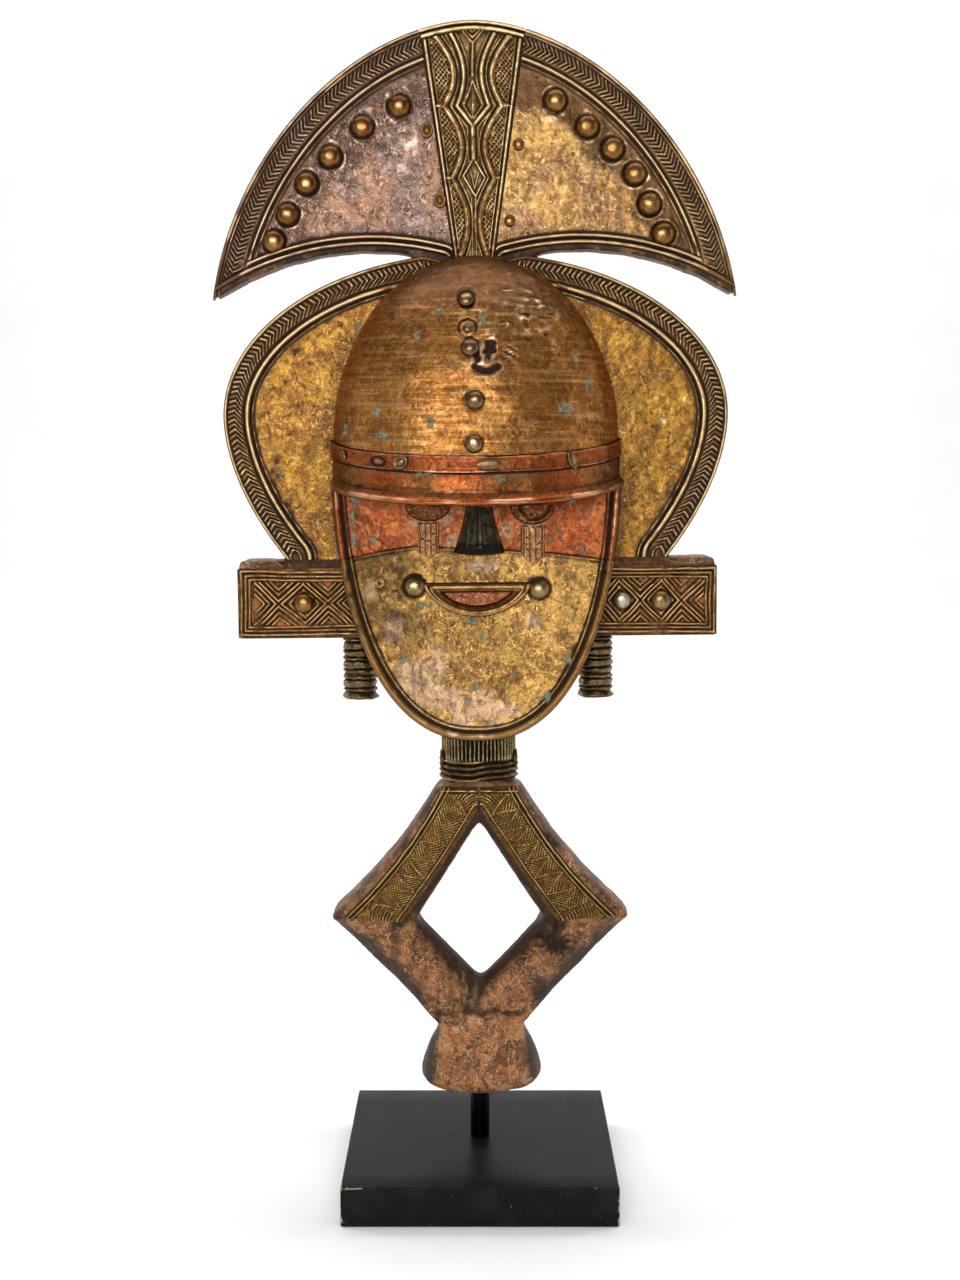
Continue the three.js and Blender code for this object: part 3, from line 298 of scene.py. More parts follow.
# %% [markdown]
# Old metal shows where it was touched and where it was not. Four marks at each point of a mesh tell its
# finish: wear is low in soiled hollows and high on rubbed ridges, and tint, gilt and stain are other
# colours of the sheet. The wear mark also carries painted light and shade: a painted highlight along the
# ridges and on the studs' crowns and the coils' turns, and painted shade on the wood, on the nose's foot
# and in the torn holes. Tint also carries painted shade on the wings and at the studs' feet. Wear comes
# from the relief itself, as how far a point stands above the points round it.

# %% Marks on a mesh
MARKS = ("wear_and_shading", "tint", "gilt", "stain")
LEVEL = 0.5
made = []


def averaged(piece, values, rounds):
    """The values smoothed over their neighbours on the mesh."""
    ends = np.empty(len(piece.data.edges) * 2, np.int32)
    piece.data.edges.foreach_get("vertices", ends)
    a, b = ends.reshape(-1, 2).T
    count = len(values)
    near = np.bincount(a, minlength=count) + np.bincount(b, minlength=count) + 1
    for _ in range(rounds):
        total = np.bincount(a, values[b], count) + np.bincount(b, values[a], count)
        values = (values + total) / near
    return values


def held(values):
    """The values held between 0 and 1."""
    return np.clip(values, 0, 1)


def paint_on(piece, name, values):
    layer = piece.data.attributes.get(name) or piece.data.attributes.new(name, "FLOAT", "POINT")
    layer.data.foreach_set("value", held(values).astype(np.float32))


def dress(piece, nodes, finish, edge=60):
    """Moves a finished mesh to its place, smooths its shading and lets it stand for its solids."""
    only(piece)
    piece.data.transform(to_scene)
    piece.data.materials.clear()
    piece.data.materials.append(finish)
    for mark in MARKS:
        if mark not in piece.data.attributes:
            paint_on(piece, mark, np.full(len(piece.data.vertices), LEVEL if mark == "wear_and_shading" else 0.0))
    bpy.ops.object.shade_smooth_by_angle(angle=math.radians(edge))
    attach(piece, "root")
    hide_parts(*nodes)
    triangles = sum(len(f.vertices) - 2 for f in piece.data.polygons)
    made.append(triangles)
    print(piece.name, triangles, "triangles")


print("marks:", *MARKS)

# %% [markdown]
# Two tools draw all relief. The first is a smooth seeded noise, for dents and wavering lines. Random
# numbers sit on a lattice, and the noise runs smoothly from one to the next.

# %% Noise
LATTICE = 24


def wobble(points, size, seed):
    """Smooth noise from -1 to 1 with lumps of this size."""
    lattice = np.random.default_rng(seed).uniform(-1, 1, (LATTICE,) * 3)
    cell = np.floor(points / size).astype(int)
    part = points / size - cell
    part = part * part * (3 - 2 * part)
    total = np.zeros(len(points))
    for corner in np.ndindex(2, 2, 2):
        weight = np.prod(np.where(np.array(corner) == 1, part, 1 - part), axis=1)
        i, j, k = ((cell + corner) % LATTICE).T
        total += weight * lattice[i, j, k]
    return total


def dented(points, seed, *lumps):
    """Noise of several sizes in one. Each kind of lump is its height and its size."""
    return sum(tall * wobble(points, size, seed + i) for i, (tall, size) in enumerate(lumps))


print("the noise repeats after", LATTICE, "lumps")

# %% [markdown]
# The second tool is the distance from a point to a drawn line, which turns a line into a round ridge of
# any width.

# %% Lines and ridges
def near_path(x, z, path):
    """How far each point is from a drawn line, and how far along the line it lies."""
    away = np.full(len(x), np.inf)
    along = np.zeros(len(x))
    length = 0.0
    for (ax, az), (bx, bz) in zip(path[:-1], path[1:]):
        size = math.hypot(bx - ax, bz - az)
        if size < 1e-6:
            continue
        share = ((x - ax) * (bx - ax) + (z - az) * (bz - az)) / size ** 2
        share = held(share)
        reach = np.hypot(x - ax - share * (bx - ax), z - az - share * (bz - az))
        nearer = reach < away
        away = np.where(nearer, reach, away)
        along = np.where(nearer, length + share * size, along)
        length += size
    return away, along


def ridge(away, width, height, crown=1.0):
    """A round ridge over a line, from the distance to the line."""
    return height * held(1 - (2 * away / width) ** 2) ** crown


def ridges(away, rows):
    """Ridges side by side along a line. Each is its distance from the line, its width and its height."""
    return np.max([ridge(away - place, width, height) for place, width, height in rows], axis=0)


def near(away, reach):
    """1 on a line, falling evenly to 0 at its reach."""
    return held(1 - np.abs(away) / reach)


def bell(value):
    """A smooth hump: 1 at 0, fading away on both sides."""
    return np.exp(-value ** 2)


def rising(value, start, width):
    """0 up to the start, rising evenly to 1 over the width."""
    return held((value - start) / width)


print("across a ridge 2 mm wide and 1 mm high:", ridge(np.linspace(-1, 1, 5), 2, 1))

# %% [markdown]
# A sheet is laid between two lines, such as the inner and outer outline of a wing. Both are redrawn with
# points at even distances, so that the rows of its grid keep their places.

# %% Even lines
def along_path(path, share):
    """Points at shares of the length of a path."""
    path = np.asarray(path, float)
    length = np.concatenate([[0], np.cumsum(np.hypot(*np.diff(path, axis=0).T))])
    at = share * length[-1]
    return np.stack([np.interp(at, length, path[:, 0]), np.interp(at, length, path[:, 1])], 1)


def evenly(path, count):
    """A path redrawn with points at even distances."""
    return along_path(path, np.linspace(0, 1, count))


print("middle of a bent line:", along_path([(0, 0), (4, 0), (4, 2)], np.array([0.5]))[0])

# %% [markdown]
# A chased sheet is its ground, raised along its normals by its relief. The relief tells the marks too,
# and spots of patina have ragged rims.

# %% Raised sheets
def outward(points, across, up):
    """Normals of a laid grid, on the side from which u runs to the right and v upwards."""
    net = points.reshape(up + 1, across + 1, 3)
    normal = np.cross(np.gradient(net, axis=1), np.gradient(net, axis=0))
    size = np.linalg.norm(normal, axis=2, keepdims=True)
    normal = np.where(size > 1e-9, normal / np.maximum(size, 1e-9), (0, -1, 0))
    return normal.reshape(-1, 3)


def chased(name, across, up, surface, relief, gain=0.8, rounds=14):
    """A grid laid on surface(u, v) and raised by relief along its normals. The relief also gives marks:
    soil lies in the hollows and on some pieces also lays painted shade, while negative soil lays a
    painted highlight; tint, gilt and stain are other colours of the sheet."""
    kept = {}

    def place(u, v):
        ground = surface(u, v)
        kept["height"], kept["marks"] = relief(ground, u, v)
        return ground + outward(ground, across, up) * kept["height"][:, None]

    piece = laid_grid(name, across, up, place)
    height, marks = kept["height"], kept["marks"]
    # Ridges raise the mark, as worn metal and a painted highlight; soil lowers it, as grime and on some
    # pieces painted shade.
    paint_on(piece, "wear_and_shading", LEVEL + gain * (height - averaged(piece, height, rounds)) - marks.get("soil", 0))
    for mark in MARKS[1:]:
        paint_on(piece, mark, marks.get(mark, np.zeros(len(height))))
    return piece


def blobs(points, places, ragged, seed, size=6.0):
    """Patches with ragged rims. Each place is x, z, half width and half height."""
    total = np.full(len(points), -9.0)
    shake = ragged * (wobble(points, size, seed) + 0.6 * wobble(points, size * 0.4, seed + 1))
    for x, z, wide, high in places:
        away = np.hypot((points[:, 0] - x) / wide, (points[:, 2] - z) / high)
        total = np.maximum(total, 1 - away)
    return held((total + shake) * 3) * (total > -1.2)


print("a relief may give soil and", *MARKS[1:])

# %% [markdown]
# A sheet on a board is closed by its border: the outermost edges are extruded, go straight back to the
# wood, and are filled. Where the real sheet is hammered over the board's edge, that part of the border
# goes further back.

# %% Closing a sheet
def merge(piece, distance=0.01):
    """Joins points that lie this close, in the units of the mesh."""
    only(piece)
    bpy.ops.object.mode_set(mode="EDIT")
    bpy.ops.mesh.select_all(action="SELECT")
    bpy.ops.mesh.remove_doubles(threshold=distance)
    bpy.ops.object.mode_set(mode="OBJECT")


def back_up(piece, back, fold=None):
    """Closes a sheet: its border goes back to y = back. By the path of a fold it goes deeper."""
    only(piece)
    bpy.ops.object.mode_set(mode="EDIT")
    bpy.ops.mesh.select_all(action="SELECT")
    bpy.ops.mesh.region_to_loop()
    bpy.ops.mesh.extrude_edges_move()
    bpy.ops.object.mode_set(mode="OBJECT")
    chosen = np.zeros(len(piece.data.vertices), bool)
    piece.data.vertices.foreach_get("select", chosen)
    points = points_of(piece)
    behind = back(points[chosen]) if callable(back) else back
    points[chosen, 1] = behind
    if fold is not None:
        path, depth = fold
        reach, _ = near_path(points[chosen, 0], points[chosen, 2], path)
        points[chosen, 1] = np.where(reach < 0.6, behind + depth, points[chosen, 1])
    move_points(piece, points)
    bpy.ops.object.mode_set(mode="EDIT")
    bpy.ops.mesh.edge_face_add()
    bpy.ops.object.mode_set(mode="OBJECT")


print("sheets can be merged and closed")

# %% [markdown]
# Old brass and copper sheet is never one colour. The hollows keep dark grime, and the ridges are rubbed
# bright, a colour that also stands in for the narrow painted highlights along them. Broad clouds shift
# between yellow, brown and pink, and fine speckles and curling scratches lie over them all. One function
# builds every metal from its own colours: the body, three layers of clouds, patches and dirt, the deepest
# grime and the brightest rub.

# %% Aged metal
SPOT_GREEN = "#74887a"
DARK_VERDIGRIS = "#4e584a"
PALE_VERDIGRIS = "#96a68c"


def aged_metal(name, body, cloud, patch, dirt, deep, bright, tint="#8a6a5a", gilt="#7a5a34",
               gleam="#ecd09a", scuff="#c89c68", rough=0.4, cloud_size=26, patch_size=9, speck=0.5,
               scratch=0.5, green=0.0, brushed=0.0, shift=0.0, rub=(0.6, 0.88), grime=(0.46, 0.26),
               depth=1.0):
    """Hammered sheet or cast metal. Sizes are in millimetres. Speck and scratch say how much dirt and how
    many scratches show, rub and grime between which levels of wear the ridges shine and hollows darken."""
    metal = Finish(name, body, rough, 0.92)
    wear_and_shading, tint_mark, gilt_mark, stain_mark = [
        add(metal.tree, "Attribute", {"attribute_name": mark}).outputs["Fac"] for mark in MARKS]
    metal.lay(cloud, (metal.clouds(cloud_size, 2, 0.8, shift=shift), 0.44, 0.54, 1))
    patches = metal.clouds(patch_size, 3, 1.5, shift=shift + 0.3)
    metal.lay(patch, (patches, 0.51, 0.57, 0.85))
    flakes = metal.clouds(patch_size * 0.7, 2, 3.0, shift=shift + 0.2)
    metal.lay(scuff, (flakes, 0.57, 0.6, 0.4), rough=rough - 0.04)
    metal.lay(tint, tint_mark, rough=rough + 0.02)
    smear = metal.clouds(patch_size * 0.7, 3, 2.4, (1, 1, 0.6), shift + 0.4)
    metal.lay(dirt, (smear, 0.53, 0.64, speck), rough=rough + 0.1)
    if brushed:
        lines = metal.clouds(1.7, 2, 0.4, (0.06, 0.06, 1), shift + 0.6)
        metal.lay(scuff, (lines, 0.53, 0.66, brushed), rough=rough - 0.05)
        metal.lay(dirt, (lines, 0.47, 0.34, brushed), rough=rough + 0.08)
    grit = metal.clouds(3, 3, 1.0, shift=shift)
    metal.lay(dirt, (grit, 0.56, 0.66, speck), rough=rough + 0.1)
    metal.lay(deep, (grit, 0.33, 0.29, 0.6 * speck), rough=0.7)
    fine = metal.clouds(1.8, 3, 0.5, shift=shift)
    metal.lay(bright, (fine, 0.68, 0.74, 0.5 * scratch), rough=rough - 0.05)
    # Curling strokes are lines of one level of a cloudy pattern, and a broad one gates them.
    gate = metal.clouds(4.4, 1, shift=shift + 0.7)
    large = metal.clouds(5.2, 2, 2.2, shift=shift)
    small = metal.clouds(3.0, 2, 2.2, shift=shift + 0.5)
    metal.lay(dirt, (metal.off_level(large, 0.44), 0.05, 0, 1), (gate, 0.5, 0.4, speck), rough=rough + 0.1)
    metal.lay(deep, (metal.off_level(small, 0.43), 0.05, 0, 1), (gate, 0.5, 0.58, 0.7 * speck), rough=0.7)
    metal.lay(scuff, (metal.off_level(large, 0.5), 0.045, 0, 1), (gate, 0.5, 0.58, scratch),
              rough=rough - 0.08)
    metal.lay(scuff, (metal.off_level(small, 0.5), 0.05, 0, 1), (gate, 0.54, 0.44, 0.8 * scratch))
    if green:
        spots = metal.clouds(5, 3, 0.8, shift=shift + 1.7)
        metal.lay(SPOT_GREEN, (spots, 0.66, 0.7, green), rough=0.85, metal=0.15)
    metal.lay(gilt, (gilt_mark, 0, 1, 0.85), rough=rough)
    metal.lay(deep, (wear_and_shading, *grime, 0.96), rough=rough + 0.25, metal=0.6)
    cloudy = add(metal.tree, "Math", {"operation": "ADD"}, {0: gate, 1: patches}).outputs[0]
    patchy = add(metal.tree, "Math", {"operation": "MULTIPLY"}, {0: cloudy, 1: 0.25}).outputs[0]
    worn = add(metal.tree, "Math", {"operation": "ADD"}, {0: wear_and_shading, 1: patchy}).outputs[0]
    # The bright rub and the gleam on the ridges are worn metal and also a painted highlight along each
    # crest.
    rubbed = (worn, rub[0] + 0.24, rub[1] + 0.26, 0.95)
    metal.lay(bright, rubbed, rough=rough - 0.08)
    metal.lay(gleam, rubbed, gilt_mark)
    stain = add(metal.tree, "Math", {"operation": "ADD"}, {0: stain_mark, 1: fine}).outputs[0]
    metal.lay(DARK_VERDIGRIS, (stain, 0.75, 1.05, 0.6), rough=0.9, metal=0.1)
    metal.lay(PALE_VERDIGRIS, (stain, 1.0, 1.35, 0.7), rough=0.9, metal=0.1)
    dents = metal.clouds(6, 2, 0.3, shift=shift)
    print("finish:", name)
    return metal.done([(dents, 0.5 * depth), (fine, 0.14 * depth)])


print("verdigris is", DARK_VERDIGRIS, "under", PALE_VERDIGRIS)

# %% [markdown]
# The crest is a crescent: a superellipse above and a hollow arc below. The sheet's grid runs from the
# strip in the middle out to the tip, with close rows where the border's bars are and wide rows in the
# plain field.

# %% Outline of the crest
SHEET_FACE = -8.5
SHEET_BACK = -7.3
CREST_HALF = 124.8
CREST_FOOT = 370
CREST_RISE = 142.2
CREST_POWER = 1.82
CREST_TIP_TURN = 1.4452
CREST_TIP = (123.72, 384.5)
CREST_ROOT = (9.9, 403.5)
STRIP_TURN = 0.233
UNDER_TOP = 406.7
UNDER_X = 49.5
UNDER_RISE = UNDER_TOP - CREST_TIP[1]
UNDER_RADIUS = ((CREST_TIP[0] - UNDER_X) ** 2 + UNDER_RISE ** 2) / (2 * UNDER_RISE)
WOOD_EDGE = 2.4


def crest_edge(turn):
    """The crest's upper edge, by the turn from its top."""
    power = 2 / CREST_POWER
    x = CREST_HALF * np.abs(np.sin(turn)) ** power
    return np.stack([x, CREST_FOOT + CREST_RISE * np.abs(np.cos(turn)) ** power], -1)


def crest_under(x):
    """The crest's lower edge, an arc."""
    return UNDER_TOP - UNDER_RADIUS + np.sqrt(UNDER_RADIUS ** 2 - (x - UNDER_X) ** 2)


crest_outer = evenly(crest_edge(np.linspace(STRIP_TURN, CREST_TIP_TURN, 400)), 160)
under_x = np.linspace(15, CREST_TIP[0], 80)
under_line = np.stack([under_x, crest_under(under_x)], 1)
hem_line = under_line + np.stack([0 * under_x, WOOD_EDGE * held((123 - under_x) / 9)], 1)
crest_inner = evenly(np.concatenate([[CREST_ROOT], hem_line]), 160)
print("the arc under the crest has a radius of", round(UNDER_RADIUS, 1), "mm")

# %% [markdown]
# Crest and wings are laid in the same way, so one function makes the surface of both. Its sheet lies
# flat on the board, between the inner and the outer line, on either side of the figure.

# %% Flat sheets between two lines
def fine_rows(v, length, inner, outer, inner_share, outer_share):
    """Distance from the inner end of each line, with close rows over its inner and outer borders."""
    tight = np.minimum(1, 0.92 * length / (inner + outer))
    inner, outer = inner * tight, outer * tight
    middle = length - inner - outer
    plain = 1 - inner_share - outer_share
    return (inner * held(v / inner_share)
            + middle * held((v - inner_share) / plain)
            + outer * held((v - 1 + outer_share) / outer_share))


def between(low, high, v, *rows):
    """Places between the points of two lines, by rows that are close along the borders."""
    length = np.maximum(np.hypot(*(high - low).T), 1e-6)
    share = fine_rows(v, length, *rows) / length
    return low + (high - low) * share[:, None]


def flat_sheet(side, inner, outer, crowd, *rows):
    def surface(u, v):
        run = u if side > 0 else 1 - u
        spot = between(along_path(inner, run ** crowd), along_path(outer, run), v, *rows)
        return np.stack([side * spot[:, 0], np.full(len(u), SHEET_FACE), spot[:, 1]], 1)
    return surface


print("rows on a line of 40 mm:", fine_rows(np.linspace(0, 1, 6), 40, 9, 21, 0.17, 0.47).round(1))

# %% [markdown]
# The borders are rows of bent bars between worn rims. A bar's phase is its distance along the edge plus
# its distance from the middle of the border, which bends the bars into arrows. Little shifts and gaps
# by noise make them hammered by hand.

# %% Border of bent bars
def bar(phase, duty=0.4):
    """Rounded bars once per unit of phase."""
    return held(1 - (np.abs((phase % 1) - 0.5) / (duty / 2)) ** 2)


def herringbone(edge, along, points, middle, half, slopes, pitch, seed):
    """Rows of bent bars in a border, from the distance to the edge and along it."""
    off = edge - middle
    slope = np.where(off > 0, *slopes)
    drift = 0.45 * wobble(points, 9, seed) + 0.25 * wobble(points, 3.5, seed + 1)
    phase = (along + slope * np.abs(off) + drift) / pitch
    fade = held((half + 0.35 * wobble(points, 2.2, seed + 2) - np.abs(off)) / 0.7)
    every_other = 0.2 * np.sign(np.sin(math.pi * np.floor(phase) + 1.57))
    strength = 0.72 + 0.3 * wobble(points, 5, seed + 3) + every_other
    return bar(phase, 0.46) * fade * np.clip(strength, 0.35, 1)


print("a bar and its gaps:", bar(np.linspace(0, 1, 7), 0.46).round(2))

# %% [markdown]
# The sheets were nailed to the board, so each dips round its studs. The studs' places come from their
# solids.

# %% Dips round the studs
def studs_on(nodes):
    """Middles of stud nodes in the figure's own millimetres."""
    places = []
    for node in nodes:
        low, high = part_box(node)
        places.append(to_figure @ ((low + high) / 2))
    return places


def halo(points, studs, radius, seed=7):
    """The sheet dips round each stud, and here and there stands up in a thin ring outside the dip."""
    total = np.zeros(len(points))
    patchy = held(0.4 + 1.0 * wobble(points, 5, seed))
    for stud in studs:
        away = np.hypot(points[:, 0] - stud.x, points[:, 2] - stud.z) - radius
        total -= 0.6 * bell(away / 0.9)
        total += 0.15 * bell((away - 2.0) / 0.8) * patchy
    return total


print("first stud at", studs_on(["crest_stud_left_1"])[0])

# %% [markdown]
# The left half of the crest is copper that has gone silvery grey, and the right half is tan brass. Both
# have a frame of rims and bars. A hem runs along the arc, and the field between them is dented.

# %% Crest
BAR_PITCH = 2.35
CREST_RIMS = ((0.9, 1.9, 0.8), (2.5, 1.0, 0.6), (13.4, 1.9, 1.05), (15.8, 1.0, 0.45))
# The crest's two sheets have the same dark borders and the same broad, smooth patches.
CREST_PATINA = dict(gilt="#604228", gleam="#d0aa78", cloud_size=30, patch_size=16, speck=0.6)
# Copper with a worn tin wash, hammered: dull mauve grey that turns pink where it is rubbed.
silvery_copper = aged_metal(
    "silvered_copper_sheet", "#6e5c54", "#88644e", "#62524a", "#40322c", "#24170e", "#ecd0b8",
    tint="#42342e", scuff="#b09080", scratch=0.9, shift=0.11, **CREST_PATINA)
# Low brass, hammered: a warm tan with a soft gleam, dark where hands never reached.
tan_brass = aged_metal(
    "tan_brass_sheet", "#a67a44", "#8e684c", "#b88e52", "#664628", "#26190e", "#f4dcb0", tint="#3e302a",
    scuff="#ccaa74", scratch=0.8, shift=0.37, **CREST_PATINA)


def crest_relief(side, studs, seed):
    def relief(points, u, v):
        x, z = side * points[:, 0], points[:, 2]
        edge, along = near_path(x, z, crest_outer)
        under, _ = near_path(x, z, under_line)
        bars = 0.95 * herringbone(edge, along, points, 7.0, 3.9, (0.8, 0.95), BAR_PITCH, seed)
        border = np.maximum(bars, ridges(edge, CREST_RIMS)) - 0.35 * near(edge - 12.0, 0.8)
        low_hem = ridge(under - 3.6, 2.4, 1.0) - 0.4 * near(under - 5.2, 0.7)
        high_hem = np.where(edge > 12.6, ridge(under - 6.6, 1.7, 1.0), border)
        field = rising(edge, 16.5, 2) * rising(under, 7.6, 2)
        dents = dented(points, seed + 5, (0.35, 13), (0.22, 5.5), (0.1, 2.3)) + halo(points, studs, 5.0)
        low_hem = np.where(edge < 3.2, np.maximum(border, low_hem), low_hem)
        lines = np.where(under < 5.4, low_hem, np.where(under < 7.7, high_hem, border))
        lines *= 0.9 + 0.15 * wobble(points, 7, seed + 8)
        height = lines * (1 - field) + dents * field + 0.12 * wobble(points, 20, seed + 9)
        # The skin round the studs and along the hem is darker, most of all on the right.
        near_studs = [(stud.x, stud.z, 10, 10) for stud in studs]
        ragged = wobble(points, 8, seed + 13)
        by_studs = held((36 - edge + 4 * ragged) / 5)
        shade = (0.9 if side > 0 else 0.6) * by_studs
        shade += held(1.1 - (under - 7) / 5) * (0.5 + 0.5 * ragged)
        tint = np.clip(blobs(points, near_studs, 0.7, seed + 11, 9) * 0.8 + shade, 0, 0.9) * field
        gilt = held(1.5 * (1 - field)) * np.clip(1 + 0.6 * wobble(points, 9, seed + 14), 0.4, 1)
        gilt = np.maximum(gilt, (0.85 if side > 0 else 0.3) * by_studs * field)
        # Grime lies between the bars, and the corner, the rim and a silver spot on the left are clean. The
        # silver spot is worn metal and also a painted highlight near the first stud.
        corner = np.exp(-((edge - 13.6) ** 2 + (under - 6.6) ** 2) / 9) * (x > 90)
        rim = near(edge - 1.6, 1.4) * held(0.2 + 1.5 * wobble(points, 11, seed + 15))
        quiet = 0.06 * (under < 7.7) + 0.05 * (edge > 12.6)
        silver_sheen = 0.11 * np.exp(-((x - 30) / 13) ** 2 - ((z - 455) / 15) ** 2) * field * (side < 0)
        soil = (0.06 + quiet) * (1 - field) - 0.3 * corner - 0.25 * rim - silver_sheen
        return height, {"soil": soil, "tint": tint, "gilt": gilt}
    return relief


FOLD = 4.0
for side, word, finish, slot in ((-1, "left", silvery_copper, "grey_copper"),
                                 (1, "right", tan_brass, "tan_brass")):
    studs = studs_on([f"crest_stud_{word}_{i}" for i in range(1, 7)])
    piece = chased(f"chased_crest_{word}", 430, 108,
                   flat_sheet(side, crest_inner, crest_outer, 1, 9, 21, 0.17, 0.47),
                   crest_relief(side, studs, 20 + side), 1.1, 16)
    back_up(piece, SHEET_BACK, (crest_outer * (side, 1), FOLD))
    merge(piece)
    dress(piece, [f"crest_sheet_{word}"], finish)

# %% [markdown]
# The middle strip is a separate sheet that covers the seam. Its drawing is a chain of bows on each side
# with crosshatched lenses outside them, and nested lines that gather round two lozenges in the middle.

# %% Drawing on the middle strip
STRIP_FOOT = 403.2
STRIP_TOP_HALF = 24.4
DOME_TOP = 404.0
CREST_TOP = CREST_FOOT + CREST_RISE
CUSPS = (505.0, 473.0, 440.0, 404.5)
CUSP_X = (17.6, 13.6, 10.0, 6.2)
BOW_DEPTH = (6.6, 6.2, 5.0)
strip_turns = np.linspace(0.24, 0, 12)
strip_top = np.concatenate([crest_edge(strip_turns) * (-1, 1), crest_edge(strip_turns[::-1])])
# Each engraved line of the middle is its path, its width and its height.
LOZENGES = (([(0, 484.5), (4.3, 473.3), (0, 465.8), (-4.3, 473.3), (0, 484.5)], 0.9, 0.5),
            ([(0, 449), (5.4, 440), (1, 431.5), (-4.8, 441), (0, 449)], 1.1, 0.75),
            ([(1, 431), (1.1, 404)], 1.0, 0.6), ([(-0.9, 431), (-0.6, 404)], 0.9, 0.5),
            ([(-1.5, 444), (0.6, 435), (2.4, 443)], 0.8, 0.5),
            ([(-2.8, 441.5), (-0.6, 434.5)], 0.7, 0.4), ([(0, 502), (0, 487)], 1.3, 0.9))


def strip_half_width(z):
    return 9.5 + (z - DOME_TOP) / (CREST_TOP - DOME_TOP) * 15


def bow(z):
    """Half width of the wide bowed ridge at a height."""
    x = np.interp(-z, [-c for c in CUSPS], CUSP_X)
    for k, depth in enumerate(BOW_DEPTH):
        share = held((CUSPS[k] - z) / (CUSPS[k] - CUSPS[k + 1]))
        x = x - depth * np.sin(math.pi * share)
    return x


def strip_surface(u, v):
    across = 2 * u - 1
    top_x = across * STRIP_TOP_HALF
    top_z = CREST_FOOT + CREST_RISE * (1 - (np.abs(top_x) / CREST_HALF) ** CREST_POWER) ** (1 / CREST_POWER)
    low_x = across * strip_half_width(STRIP_FOOT)
    x = low_x + (top_x - low_x) * v
    z = STRIP_FOOT + (top_z - STRIP_FOOT) * v
    return np.stack([x, np.full(len(u), SHEET_FACE), z], 1)


print("the strip is", round(2 * strip_half_width(STRIP_FOOT), 1), "mm wide at its foot")

# %% [markdown]
# The strip's relief is the highest of its lines at each point. The ground between the bows and the
# rims is crosshatched, and a double rim follows the crest's upper edge.

# %% Middle strip
def strip_relief(points, u, v):
    x, z = points[:, 0] + 0.25 * wobble(points, 14, 41), points[:, 2]
    half = np.abs(x)
    side = (strip_half_width(z) - np.abs(points[:, 0])) * 0.99
    top, _ = near_path(points[:, 0], z, strip_top)
    heights = np.linspace(CUSPS[0], CUSPS[3], 60)
    wide, _ = near_path(half, z, list(zip(bow(heights), heights)))
    upper = np.linspace(507, 473, 24)
    curve = 10.8 - 3.4 * (507 - upper) / 34 - 4.9 * np.sin(math.pi * (507 - upper) / 34)
    second, _ = near_path(half, z, list(zip(curve, upper)) + [(0.2, 464), (0.2, 449)])
    drawn = [ridges(side, ((1.0, 1.8, 1.1), (2.9, 1.1, 0.75))), ridge(wide, 3.0, 1.2, 0.6),
             ridge(wide - 2.6, 0.9, 0.5), ridge(second, 2.2, 1.1, 0.7), ridge(second - 2.2, 0.9, 0.45)]
    for k in (1, 2):
        spike, _ = near_path(half, z, [(CUSP_X[k], CUSPS[k]), (strip_half_width(CUSPS[k]) - 2, CUSPS[k])])
        reach = strip_half_width(z) - half
        drawn.append(ridge(spike, np.clip(0.9 + 0.9 * (reach - 1.6), 0.9, 4.5), 1.05))
    for path, width, tall in LOZENGES:
        drawn.append(ridge(near_path(x, z, path)[0], width, tall))
    for rise in (0, 2.6, 5.0):
        vee = [(-6.2, 509 + rise * 0.4), (0, 501.5 + rise), (6.2, 509 + rise * 0.4)]
        drawn.append(ridge(near_path(x, z, vee)[0], 1.0, 0.6))
    diamond = np.abs(x) / 2.6 + np.abs(z - 473.5) / 6.5
    drawn.append(1.1 * held(1.15 - diamond))
    lines = np.max(drawn, axis=0)
    outside = (half > bow(z) + 1.5) & (side > 3.4) & (top > 5.5)
    hatch = np.maximum(bar((x + 0.9 * z + 0.4 * wobble(points, 4, 43)) / 1.9, 0.5),
                       bar((x - 0.75 * z + 0.4 * wobble(points, 4, 44)) / 2.1, 0.5))
    hatch = 0.75 * hatch * np.clip(0.9 + 0.5 * wobble(points, 3, 45), 0.2, 1)
    lines = np.where(outside, np.maximum(lines, hatch), lines)
    lines = np.where(top < 5.0, ridges(top, ((1.0, 1.9, 1.1), (3.6, 2.6, 1.2))), lines)
    height = lines * (0.93 + 0.12 * wobble(points, 6, 46)) + 0.1 * wobble(points, 12, 47)
    return height, {"soil": np.full(len(height), 0.07)}


strip = chased("chased_crest_strip", 116, 260, strip_surface, strip_relief, 0.85, 14)
back_up(strip, SHEET_BACK, (strip_top, FOLD))
# Yellow brass, chased all over: dark grooves with gold on every line that stands up.
strip_metal = aged_metal(
    "golden_brass_strip", "#94703e", "#7c5832", "#a88450", "#48301a", "#1e130a", "#f0d4a0",
    scuff="#bc945c", rough=0.36, cloud_size=18, patch_size=6, scratch=0.3, shift=0.61, rub=(0.53, 0.76),
    grime=(0.47, 0.27))
dress(strip, ["crest_centre_strip"], strip_metal)

# %% [markdown]
# The wings hang from the head like two leaves. Their outer line runs from under the crest round to the
# ear bar, and their inner line follows the head and the face.

